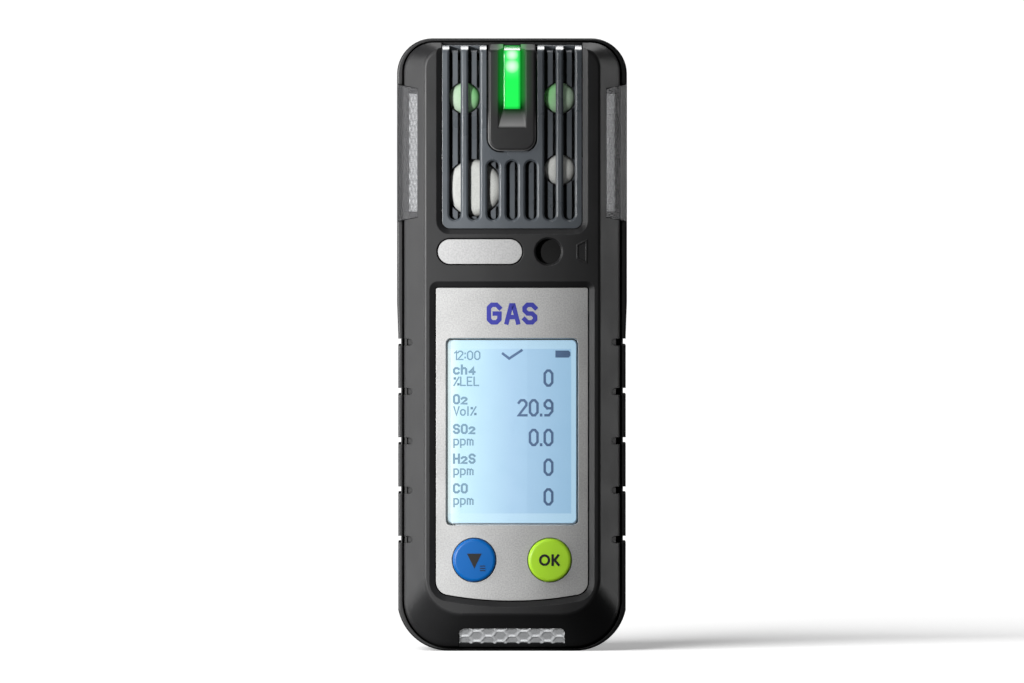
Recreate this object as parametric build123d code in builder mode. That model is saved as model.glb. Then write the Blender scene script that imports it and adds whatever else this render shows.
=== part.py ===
from build123d import *
from math import hypot
import os

# Portable gas detector, in millimetres. X runs to the right as seen from the front, the display
# faces -Y and Z is up. The origin is the centre of the foot, on the plane halfway through the body.
# A depth is a distance in front of that plane, so a depth behind it is negative.

# ---- Casing -------------------------------------------------------------------------------------
HEIGHT = 130.0
HALF_WIDTH = 24.4
WAIST_HALF_WIDTH = 24.15
WAIST_START = 67.0
WAIST_END = 74.0
HALF_DEPTH = 15.5
FOOT_CORNER = 11.0
TOP_CORNER = 7.5
REAR_WALL = 2.2
BACK_FILLET = 4.0
RIM_DEPTH = 7.0
RIM_SIDE = 1.1
RIM_TOP = 0.5
RIM_FOOT = 0.4
RIM_FILLET = 0.4
SEAM_GAP = 0.35
LEDGE_DEPTH = 5.5
SEAL_THICKNESS = 0.35
SEAL_WIDTH = 0.6
FLANGE_DEPTH = LEDGE_DEPTH + SEAL_THICKNESS
EASE = 0.1  # gap between fixed pieces that nest
OVERSHOOT = 1.0  # how far a cutting shape runs past what it cuts
BEVEL_TAPER = -45

# Front shell: upright walls up to the shoulder, then facets up to the flat face
SHOULDER_DEPTH = 8.0
SHOULDER_HALF = HALF_WIDTH - RIM_SIDE - SEAM_GAP
SHOULDER_FOOT = RIM_FOOT + SEAM_GAP
SHOULDER_TOP = HEIGHT - RIM_TOP - SEAM_GAP
SHOULDER_FOOT_CORNER = 10.0
SHOULDER_TOP_CORNER = 6.3
SHOULDER_FILLET = 4.0
FACE_HALF = 18.6
FACE_FOOT = 7.9
FACE_TOP = 128.0
FACE_FOOT_CORNER = 8.0
FACE_TOP_CORNER = 4.0
CREASE_FILLET = 0.8
FRONT_WALL = 1.8
INNER_FACE_DEPTH = 12.9

# Grip notches, five on each side
NOTCH_COUNT = 5
NOTCH_PITCH = 10.47
NOTCH_MIDDLE = 44.65
NOTCH_HEIGHT = 1.44
NOTCH_INNER_END = 21.1
NOTCH_FACET_DEPTH = 0.9
NOTCH_SIDE_DEPTH = 0.6
NOTCH_REAR_END = 14.5

# Screws that hold the casing, seen from the back
CASING_SCREWS = [(15.5, 7.5), (18.2, 76.0), (17.9, 123.5)]
CASING_SCREW_RADIUS = 1.1
CASING_HEAD_RADIUS = 2.1
CASING_HEAD_HEIGHT = 1.6
CASING_HEAD_BACK = 13.6
CASING_SCREW_TIP = 10.0
BOSS_RADIUS = 2.5
BOSS_GAP = 0.2

# Foot: charging contacts and infrared window, as (x, y)
CHARGING_PLACES = [(-8.0, 5.5), (8.0, 5.5)]
CHARGING_RADIUS = 1.6
INFRARED_PLACE = (0.0, 5.5)
INFRARED_LENGTH = 8.0
INFRARED_WIDTH = 3.0
FOOT_INSET = 0.25

# ---- Front face ---------------------------------------------------------------------------------
PLATE_HALF = 16.1
PLATE_TOP = 77.2
PLATE_FOOT = 10.9
PLATE_FOOT_SIDE = 12.6
PLATE_CORNER = 2.8
PLATE_TOP_CORNER = 0.4
PLATE_DEPTH = 14.7
PLATE_THICKNESS = 0.6
PLATE_GAP = 0.25
PLATE_BEVEL = 1.15
RECESS_FLOOR = PLATE_DEPTH - PLATE_THICKNESS

WINDOW_HALF = 13.9
WINDOW_FOOT = 27.0
WINDOW_TOP = 66.4
WINDOW_CORNER = 1.0
WINDOW_DEPTH = 14.65
WINDOW_THICKNESS = 1.1
APERTURE_GAP = 0.15

LCD_DEPTH = 13.3
LCD_THICKNESS = 1.2
LCD_MARGIN = 0.35
BACKLIGHT_DEPTH = 12.0
BACKLIGHT_THICKNESS = 1.6
BACKLIGHT_MARGIN = 1.2
TRAY_DEPTH = 12.7
TRAY_WALL = 1.0
TRAY_FLOOR = 1.2

BUTTON_X = 8.0
BUTTON_Z = 19.5
BUTTON_PLACES = [(-BUTTON_X, BUTTON_Z), (BUTTON_X, BUTTON_Z)]
BUTTON_RADIUS = 4.6
BUTTON_GAP = 0.15
BUTTON_DEPTH = 15.5
BUTTON_EDGE = 0.7
BUTTON_FLANGE_RADIUS = 5.0
BUTTON_FLANGE_DEPTH = 12.8
BUTTON_FLANGE_THICKNESS = 1.2
BUTTON_STEM_RADIUS = 2.0
BUTTON_STEM_DEPTH = 10.5
DOME_RADIUS = 3.0
DOME_HEIGHT = 0.65

LABEL_LENGTH = 17.8
LABEL_HEIGHT = 5.2
LABEL_X = -6.8
LABEL_Z = 84.9
LABEL_THICKNESS = 0.35
LABEL_RECESS = 0.5
LABEL_GAP = 0.3

HORN_X = 7.7
HORN_Z = 84.9
HORN_HOLE_RADIUS = 2.68
HORN_BEVEL = 0.4
BUZZER_Z = 83.6
BUZZER_RADIUS = 4.2
BUZZER_DEPTH = 12.0
BUZZER_HEIGHT = 3.6
BUZZER_HOLE_RADIUS = 1.0
BUZZER_HOLE_DEPTH = 1.0
MEMBRANE_RADIUS = 3.6
MEMBRANE_THICKNESS = 0.4

HORN_MARK_X = (13.7, 15.9)
HORN_MARK_HALF_HEIGHTS = (1.5, 2.6)
HORN_MARK_LINE = 0.3
HORN_MARK_RELIEF = 0.15

# ---- Gas inlet ----------------------------------------------------------------------------------
COVER_HALF = 14.8
COVER_FOOT = 89.8
COVER_CORNER = 1.8
COVER_GAP = 0.15
COVER_DEPTH = 14.4
COVER_TOP_INSET = 0.45
COVER_THICKNESS = 1.6
COVER_BEVEL = 1.1

SLOT_PITCH = 4.03
SLOT_WIDTH = 2.44
SLOT_FOOT = 91.6
SLOT_SHORT_TOP = 104.1
SLOT_BACK_DEPTH = 9.2
SLOT_BEVEL = 0.4
OUTER_SLOTS = [-3, -2, 2, 3]
SHORT_SLOTS = [-1, 0, 1]

TONGUE_HALF = 5.1
TONGUE_FOOT = 106.2
TONGUE_CORNER = 2.7
TONGUE_GAP = 0.3
TONGUE_DEPTH = 15.2
TONGUE_INNER_DEPTH = 12.6
TONGUE_TOP_INSET = 0.3
TONGUE_EDGE = 0.6

GUIDE_HALF = 1.75
GUIDE_FOOT = 115.0
GUIDE_DEPTH = 14.5
GUIDE_THICKNESS = 1.2
GUIDE_TOP_INSET = 0.55
TROUGH_HALF = 2.95
TROUGH_FOOT = 111.0
STATUS_LED_Z = 118.0
STATUS_LED = (2.6, 3.0)
STATUS_LED_HEIGHT = 1.6
STATUS_BOARD = (4.0, 13.0)
STATUS_BOARD_THICKNESS = 0.3

FRAME_HALF = 14.4
FRAME_FOOT = 90.4
FRAME_TOP = 125.4
FRAME_DEPTH = 9.6
FRAME_THICKNESS = 1.0
RIB_WIDTH = 1.2
RIB_DEPTH = 12.4
RIB_TOP_INSET = 1.3
SMALL_FILTERS = [(-10.1, 117.4), (10.1, 117.4), (10.1, 102.2)]
SMALL_FILTER_RADIUS = 3.3
LARGE_FILTER = (-8.07, 98.4)
LARGE_FILTER_RADIUS = 6.0
FILTER_DEPTH = 12.6
FILTER_EDGE = 2.2

SENSOR_RADIUS = 8.0
SENSOR_COLUMN = 9.0
SENSOR_ROWS = (99.3, 116.2)
SENSOR_DEPTH = 7.5
SENSOR_LENGTH = 15.5
SENSOR_EDGE = 0.6
SENSOR_INLET_DEPTH = 0.8
CARRIER_HALF = 17.9
CARRIER_FOOT = 90.2
CARRIER_TOP = 125.3
CARRIER_CHAMFER = 5.5
CARRIER_DEPTH = 4.0
CARRIER_THICKNESS = 4.0
GASKET_THICKNESS = 1.9

# ---- Alarm lights -------------------------------------------------------------------------------
SIDE_LENS_INNER = 20.0
SIDE_LENS_REAR = 1.5
SIDE_LENS_THICKNESS = 1.2
SIDE_LENS_INNER_ENDS = (92.6, 119.0)
SIDE_LENS_OUTER_ENDS = (91.0, 120.5)
REFLECTOR_X = (21.25, 23.2)
REFLECTOR_INSETS = (1.3, 1.9)
REFLECTOR_END_MARGIN = 0.6
FOOT_LENS_HALF = 11.2
FOOT_LENS_Z = (0.0, 4.8)
FOOT_LENS_CORNER = 1.3
FOOT_LENS_THICKNESS = 0.7
FOOT_REFLECTOR_THICKNESS = 0.5
FOOT_LENS_BACK = 7.2
LED_BOARD_THICKNESS = 0.8
LED_BOARD_CORNER = 0.8
SIDE_LED_BOARD = (7.0, 22.0)
SIDE_LED_BOARD_X = 18.6
SIDE_LED_Y = -4.5
SIDE_LED_ZS = (100.0, 111.0)
FOOT_LED_BOARD = (18.0, 4.4)
FOOT_LED_BOARD_Y = -9.2
FOOT_LED_BOARD_Z = 7.2
FOOT_LED_Y = -9.6
FOOT_LED_XS = (-5.0, 5.0)
LED_LENGTH = 3.0
LED_WIDTH = 2.0
LED_HEIGHT = 0.9

# ---- Electronics --------------------------------------------------------------------------------
BOARD_HALF = 18.5
BOARD_FOOT = 12.2
BOARD_TOP = 79.3
BOARD_DEPTH = 9.0
BOARD_THICKNESS = 1.0
BOARD_FOOT_CORNER = 4.0
BOARD_TOP_CORNER = 1.0
COMPONENT_HEIGHT = 1.2
SQUARE_CHIP_PLACES = [(-6.0, 50.0), (-6.0, 30.0)]
SQUARE_CHIP = (9.0, 9.0)
SMALL_CHIP_PLACES = [(8.0, 56.0), (8.0, 44.0), (9.0, 28.0)]
SMALL_CHIP = (5.0, 7.0)
SOCKET_PLACE = (0.0, 73.0)
SOCKET = (16.0, 3.4)
SENSOR_BOARD_DEPTH = -9.0

# ---- Battery ------------------------------------------------------------------------------------
PACK_HALF = 18.2
PACK_FOOT = 11.1
PACK_TOP = 68.0
PACK_FRONT_DEPTH = 2.2
PACK_WALL = 1.2
PACK_BACK_WALL = 1.5
PACK_CORNER = 2.0
PACK_INNER_CORNER = 1.0
PACK_BACK_EDGE = 0.5
BAY_GAP = 0.3
BAY_WALL = 1.2
CELL_RADIUS = 7.25
CELL_LENGTH = 50.0
CELL_X = 7.6
CELL_DEPTH = -6.5
CELL_FOOT = 13.2
PACK_SCREW_X = 14.0
PACK_SCREW_Z = 65.4
PACK_SCREW_PLACES = [(-PACK_SCREW_X, PACK_SCREW_Z), (PACK_SCREW_X, PACK_SCREW_Z)]
PACK_SCREW_RADIUS = 0.9
PACK_HEAD_RADIUS = 1.7
PACK_HEAD_HEIGHT = 1.4
CONTACT_PLACES = [(-5.0, 62.0), (0.0, 62.0), (5.0, 62.0)]
CONTACT_RADIUS = 1.2
LABEL_PANEL = (24.0, 34.0)
LABEL_FILM = 0.2
PIN_RADIUS = 0.7

# ---- Vibration alarm ----------------------------------------------------------------------------
MOTOR_RADIUS = 3.0
MOTOR_X = (-12.0, -3.0)
MOTOR_Z = 76.2
MOTOR_SHAFT_RADIUS = 0.5
MOTOR_BORE_GAP = 0.05
MOTOR_MARGIN = 0.5
WEIGHT_RADIUS = 2.7
WEIGHT_X = (-2.2, 2.0)

# ---- Clothing clip on the back ------------------------------------------------------------------
CLIP_PLATE_HALF = 11.0
CLIP_PLATE_Z = (88.0, 113.0)
CLIP_PLATE_THICKNESS = 1.6
CLIP_PLATE_CORNER = 2.0
CLIP_PIVOT_Y = 21.0
CLIP_PIVOT_Z = 103.0
CLIP_PIN_RADIUS = 1.2
CLIP_PIN_GAP = 0.05
CLIP_LUG_X = (8.0, 10.2)
CLIP_LUG_RADIUS = 2.9
CLIP_LUG_ROOT = 0.4
CLIP_KNUCKLE_RADIUS = 2.7
CLIP_KNUCKLE_HALF = 7.8
CLIP_ARM_HALF = 10.0
CLIP_ARM_THICKNESS = 1.8
CLIP_SPRING_HALF = 3.2
CLIP_COIL_HALF = 2.4
CLIP_COIL_PITCH = 1.0
CLIP_WEB_LENGTH = 6.0
CLIP_WEB_WALL = 1.2
CLIP_BLADE = [(24.2, 116.0), (28.5, 96.0), (20.5, 61.5)]  # outer arc, as (y, z)
CLIP_JAW = [(15.8, 61.0), (20.5, 61.5), (21.2, 64.5), (19.6, 64.5), (15.8, 63.0)]
CLIP_COIL_RADIUS = 1.9
CLIP_WIRE_RADIUS = 0.35
CLIP_SCREW_X = 8.0
CLIP_SCREW_ZS = (91.2, 111.0)
CLIP_SCREW_RADIUS = 0.9
CLIP_SCREW_PLACES = [(x, z) for x in (-CLIP_SCREW_X, CLIP_SCREW_X) for z in CLIP_SCREW_ZS]
CLIP_HEAD_RADIUS = 1.6
CLIP_HEAD_HEIGHT = 1.0


# ---- Shapes used by several pieces --------------------------------------------------------------
def facing(depth):
    """The plane that faces forwards at a depth, with X to the right and Z up."""
    return Plane.XZ.offset(depth)


def upright_outline(half_width, foot, top, foot_corner, top_corner):
    """A rectangle on the centre line with its own corner radius at the foot and at the top."""
    with BuildSketch() as sketch:
        with Locations((0, (foot + top) / 2)):
            Rectangle(2 * half_width, top - foot)
        fillet(sketch.vertices().group_by(Axis.Y)[0], foot_corner)
        fillet(sketch.vertices().group_by(Axis.Y)[-1], top_corner)
    return sketch.sketch


def rear_outline():
    """The silhouette of the casing, with its slightly narrower waist below the middle."""
    with BuildSketch() as sketch:
        add(upright_outline(HALF_WIDTH, 0, HEIGHT, FOOT_CORNER, TOP_CORNER))
        with BuildSketch(mode=Mode.SUBTRACT):
            with BuildLine():
                Polyline(
                    (WAIST_HALF_WIDTH, 0),
                    (WAIST_HALF_WIDTH, WAIST_START),
                    (HALF_WIDTH, WAIST_END),
                    (HALF_WIDTH + OVERSHOOT, WAIST_END),
                    (HALF_WIDTH + OVERSHOOT, 0),
                    close=True,
                )
            make_face()
            mirror(about=Plane.YZ)
    return sketch.sketch


def between(shoulder_size, face_size, depth):
    """A size of the front shell's outline at a depth between its shoulder and its face."""
    share = (depth - SHOULDER_DEPTH) / (HALF_DEPTH - SHOULDER_DEPTH)
    return shoulder_size + share * (face_size - shoulder_size)


def front_outline(depth, inset):
    """The front shell's outline at a depth, made smaller all round by an inset."""
    return upright_outline(
        between(SHOULDER_HALF, FACE_HALF, depth) - inset,
        between(SHOULDER_FOOT, FACE_FOOT, depth) + inset,
        between(SHOULDER_TOP, FACE_TOP, depth) - inset,
        between(SHOULDER_FOOT_CORNER, FACE_FOOT_CORNER, depth) - inset,
        between(SHOULDER_TOP_CORNER, FACE_TOP_CORNER, depth) - inset,
    )


def front_form(inset, face_depth, rounded=False):
    """The solid form of the front shell, inset at its sides, with its face at a chosen depth."""
    with BuildPart() as form:
        with BuildSketch(facing(FLANGE_DEPTH)):
            add(front_outline(SHOULDER_DEPTH, inset))
        extrude(amount=SHOULDER_DEPTH - FLANGE_DEPTH)
        with BuildSketch(facing(SHOULDER_DEPTH)):
            add(front_outline(SHOULDER_DEPTH, inset))
        with BuildSketch(facing(face_depth)):
            add(front_outline(face_depth, inset))
        loft(ruled=True)
        if rounded:
            shoulder = form.edges().filter_by_position(Axis.Y, -SHOULDER_DEPTH, -SHOULDER_DEPTH)
            fillet(shoulder, SHOULDER_FILLET)
            fillet(form.faces().sort_by(Axis.Y)[0].edges(), CREASE_FILLET)
    return form.part


def column(outline, back_depth, front_depth):
    """An outline seen from the front, extruded between two depths."""
    with BuildPart() as solid:
        with BuildSketch(facing(back_depth)):
            add(outline)
        extrude(amount=front_depth - back_depth)
    return solid.part


def open_top_outline(half_width, foot, corner):
    """An outline that is rounded at its foot and runs out over the top of the casing."""
    with BuildSketch() as sketch:
        with Locations((0, (foot + HEIGHT + FOOT_CORNER) / 2)):
            Rectangle(2 * half_width, HEIGHT + FOOT_CORNER - foot)
        if corner:
            fillet(sketch.vertices().group_by(Axis.Y)[0], corner)
    return sketch.sketch


def plate_outline(grow):
    """The silver plate's outline with its arched lower edge, grown all round."""
    with BuildSketch() as sketch:
        with BuildLine():
            Polyline((-PLATE_HALF, PLATE_FOOT_SIDE), (-PLATE_HALF, PLATE_TOP), (PLATE_HALF, PLATE_TOP),
                     (PLATE_HALF, PLATE_FOOT_SIDE))
            ThreePointArc((PLATE_HALF, PLATE_FOOT_SIDE), (0, PLATE_FOOT), (-PLATE_HALF, PLATE_FOOT_SIDE))
        make_face()
        fillet(sketch.vertices().group_by(Axis.Y)[0], PLATE_CORNER)
        fillet(sketch.vertices().group_by(Axis.Y)[-1], PLATE_TOP_CORNER)
        if grow:
            offset(amount=grow)
    return sketch.sketch


def window_outline(grow):
    """The display window's outline, grown all round."""
    return upright_outline(WINDOW_HALF + grow, WINDOW_FOOT - grow, WINDOW_TOP + grow,
                           WINDOW_CORNER + max(grow, 0), WINDOW_CORNER + max(grow, 0))


def facet_point(x, inward):
    """A point of the right-hand facet's section, moved square to the facet into the casing."""
    run = HALF_DEPTH - SHOULDER_DEPTH
    rise = SHOULDER_HALF - FACE_HALF
    slant = hypot(run, rise)
    depth = SHOULDER_DEPTH + (SHOULDER_HALF - x) * run / rise
    return (x - inward * run / slant, inward * rise / slant - depth)


def side_window_outline(grow, inner_x):
    """The right-hand alarm window seen from the front, with its slanting ends."""
    with BuildSketch() as sketch:
        with BuildLine():
            Polyline(
                (inner_x, SIDE_LENS_INNER_ENDS[0] - grow),
                (HALF_WIDTH + OVERSHOOT, SIDE_LENS_OUTER_ENDS[0] - grow),
                (HALF_WIDTH + OVERSHOOT, SIDE_LENS_OUTER_ENDS[1] + grow),
                (inner_x, SIDE_LENS_INNER_ENDS[1] + grow),
                close=True,
            )
        make_face()
    return sketch.sketch


def side_lens_form(grow):
    """The right-hand alarm lens: a band along the facet that bends on to the side."""
    with BuildPart() as form:
        with BuildSketch(Plane.XY.offset(SIDE_LENS_OUTER_ENDS[0] - OVERSHOOT)):
            with BuildLine():
                Polyline(
                    facet_point(SIDE_LENS_INNER, 0),
                    facet_point(SHOULDER_HALF, 0),
                    (HALF_WIDTH, -RIM_DEPTH),
                    (HALF_WIDTH, SIDE_LENS_REAR),
                    (HALF_WIDTH - SIDE_LENS_THICKNESS, SIDE_LENS_REAR),
                    (HALF_WIDTH - SIDE_LENS_THICKNESS, -RIM_DEPTH),
                    facet_point(SHOULDER_HALF, SIDE_LENS_THICKNESS),
                    facet_point(SIDE_LENS_INNER, SIDE_LENS_THICKNESS),
                    close=True,
                )
            make_face()
            if grow:
                offset(amount=grow, kind=Kind.INTERSECTION)
        extrude(amount=SIDE_LENS_OUTER_ENDS[1] - SIDE_LENS_OUTER_ENDS[0] + 2 * OVERSHOOT)
        window = side_window_outline(grow, SIDE_LENS_INNER - FRONT_WALL)
        add(column(window, -HALF_DEPTH, HALF_DEPTH), mode=Mode.INTERSECT)
    return form.part


def side_reflector_form(grow):
    """The right-hand reflector: a strip behind the lens on the facet."""
    with BuildPart() as form:
        with BuildSketch(Plane.XY.offset(SIDE_LENS_INNER_ENDS[0] + REFLECTOR_END_MARGIN - grow)):
            with BuildLine():
                Polyline(
                    facet_point(REFLECTOR_X[0], REFLECTOR_INSETS[0]),
                    facet_point(REFLECTOR_X[1], REFLECTOR_INSETS[0]),
                    facet_point(REFLECTOR_X[1], REFLECTOR_INSETS[1]),
                    facet_point(REFLECTOR_X[0], REFLECTOR_INSETS[1]),
                    close=True,
                )
            make_face()
            if grow:
                offset(amount=grow, kind=Kind.INTERSECTION)
        length = SIDE_LENS_INNER_ENDS[1] - SIDE_LENS_INNER_ENDS[0] - 2 * REFLECTOR_END_MARGIN
        extrude(amount=length + 2 * grow)
    return form.part


def foot_window(grow, outer, inner):
    """A slice of the chin between two forms, within the foot alarm window."""
    with BuildPart() as slice_part:
        add(column(
            upright_outline(FOOT_LENS_HALF + grow, FOOT_LENS_Z[0] - grow, FOOT_LENS_Z[1] + grow,
                            grow + EASE, FOOT_LENS_CORNER),
            FOOT_LENS_BACK, HALF_DEPTH,
        ))
        add(outer, mode=Mode.INTERSECT)
        add(inner, mode=Mode.SUBTRACT)
    return slice_part.part


def casing_screw_places():
    """Both sides of every casing screw."""
    return [(side * x, z) for x, z in CASING_SCREWS for side in (-1, 1)]


OUTER_FORM = front_form(0, HALF_DEPTH, rounded=True)

# ---- Casing -------------------------------------------------------------------------------------
with BuildPart() as front_shell:
    add(OUTER_FORM)
    add(front_form(FRONT_WALL, INNER_FACE_DEPTH), mode=Mode.SUBTRACT)

    # Screw bosses, trimmed to stay inside the outer surface
    with BuildPart(mode=Mode.PRIVATE) as front_bosses:
        with BuildSketch(facing(FLANGE_DEPTH)):
            with Locations(*casing_screw_places()):
                Circle(BOSS_RADIUS)
        extrude(amount=INNER_FACE_DEPTH + BOSS_GAP - FLANGE_DEPTH)
        add(front_form(FRONT_WALL / 2, INNER_FACE_DEPTH + BOSS_GAP), mode=Mode.INTERSECT)
    add(front_bosses.part)
    with BuildSketch(facing(FLANGE_DEPTH)):
        with Locations(*casing_screw_places()):
            Circle(CASING_SCREW_RADIUS)
    extrude(amount=CASING_SCREW_TIP + BOSS_GAP - FLANGE_DEPTH, mode=Mode.SUBTRACT)

    # Recess for the silver plate, with a sloping wall above the plate
    with BuildSketch(facing(RECESS_FLOOR)):
        add(plate_outline(PLATE_GAP))
    extrude(amount=PLATE_THICKNESS, mode=Mode.SUBTRACT)
    with BuildSketch(facing(PLATE_DEPTH)):
        add(plate_outline(PLATE_GAP))
    with BuildSketch(facing(HALF_DEPTH)):
        add(plate_outline(PLATE_GAP + PLATE_BEVEL))
    loft(ruled=True, mode=Mode.SUBTRACT)

    # Openings for the display and the two buttons
    with BuildSketch(facing(INNER_FACE_DEPTH)):
        add(window_outline(APERTURE_GAP))
        with Locations(*BUTTON_PLACES):
            Circle(BUTTON_RADIUS + BUTTON_GAP)
    extrude(amount=HALF_DEPTH - INNER_FACE_DEPTH, mode=Mode.SUBTRACT)

    # Recess for the name label, and the horn hole with its bevelled rim
    with BuildSketch(facing(HALF_DEPTH - LABEL_RECESS)):
        with Locations((LABEL_X, LABEL_Z)):
            SlotOverall(LABEL_LENGTH + 2 * LABEL_GAP, LABEL_HEIGHT + 2 * LABEL_GAP)
    extrude(amount=LABEL_RECESS, mode=Mode.SUBTRACT)
    with BuildSketch(facing(INNER_FACE_DEPTH)):
        with Locations((HORN_X, HORN_Z)):
            Circle(HORN_HOLE_RADIUS)
    extrude(amount=HALF_DEPTH - INNER_FACE_DEPTH, mode=Mode.SUBTRACT)
    with BuildSketch(facing(HALF_DEPTH - HORN_BEVEL)):
        with Locations((HORN_X, HORN_Z)):
            Circle(HORN_HOLE_RADIUS)
    extrude(amount=HORN_BEVEL, taper=BEVEL_TAPER, mode=Mode.SUBTRACT)

    # Raised mark beside the horn hole: a plain trumpet outline
    with BuildSketch(facing(HALF_DEPTH)):
        with BuildLine():
            Polyline(
                (HORN_MARK_X[0], HORN_Z - HORN_MARK_HALF_HEIGHTS[0]),
                (HORN_MARK_X[1], HORN_Z - HORN_MARK_HALF_HEIGHTS[1]),
                (HORN_MARK_X[1], HORN_Z + HORN_MARK_HALF_HEIGHTS[1]),
                (HORN_MARK_X[0], HORN_Z + HORN_MARK_HALF_HEIGHTS[0]),
                close=True,
            )
        make_face()
        offset(amount=-HORN_MARK_LINE, kind=Kind.INTERSECTION, mode=Mode.SUBTRACT)
    extrude(amount=HORN_MARK_RELIEF)

    # Opening for the gas inlet, over the top edge, with a sloping wall above the cover
    with BuildSketch(facing(SHOULDER_DEPTH)):
        add(open_top_outline(COVER_HALF + COVER_GAP, COVER_FOOT - COVER_GAP, COVER_CORNER))
    extrude(amount=HALF_DEPTH - SHOULDER_DEPTH, mode=Mode.SUBTRACT)
    with BuildSketch(facing(COVER_DEPTH)):
        add(open_top_outline(COVER_HALF + COVER_GAP, COVER_FOOT - COVER_GAP, COVER_CORNER))
    with BuildSketch(facing(HALF_DEPTH)):
        add(open_top_outline(COVER_HALF + COVER_GAP + COVER_BEVEL, COVER_FOOT - COVER_GAP - COVER_BEVEL,
                             COVER_CORNER + COVER_BEVEL))
    loft(ruled=True, mode=Mode.SUBTRACT)

    # Alarm windows at the sides and in the chin
    add(side_lens_form(EASE), mode=Mode.SUBTRACT)
    add(side_lens_form(EASE).mirror(Plane.YZ), mode=Mode.SUBTRACT)
    add(side_reflector_form(EASE), mode=Mode.SUBTRACT)
    add(side_reflector_form(EASE).mirror(Plane.YZ), mode=Mode.SUBTRACT)
    foot_opening = foot_window(EASE, OUTER_FORM, front_form(2 * FRONT_WALL, INNER_FACE_DEPTH))
    add(foot_opening, mode=Mode.SUBTRACT)

    # Grip notches on the facets
    with BuildPart(mode=Mode.PRIVATE) as facet_notches:
        with BuildSketch(facing(FLANGE_DEPTH)):
            with Locations((0, NOTCH_MIDDLE)):
                with GridLocations(2 * HALF_WIDTH, NOTCH_PITCH, 2, NOTCH_COUNT):
                    SlotOverall(2 * (HALF_WIDTH - NOTCH_INNER_END), NOTCH_HEIGHT)
        extrude(amount=HALF_DEPTH - FLANGE_DEPTH)
        add(front_form(NOTCH_FACET_DEPTH, HALF_DEPTH), mode=Mode.SUBTRACT)
    add(facet_notches.part, mode=Mode.SUBTRACT)

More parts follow.
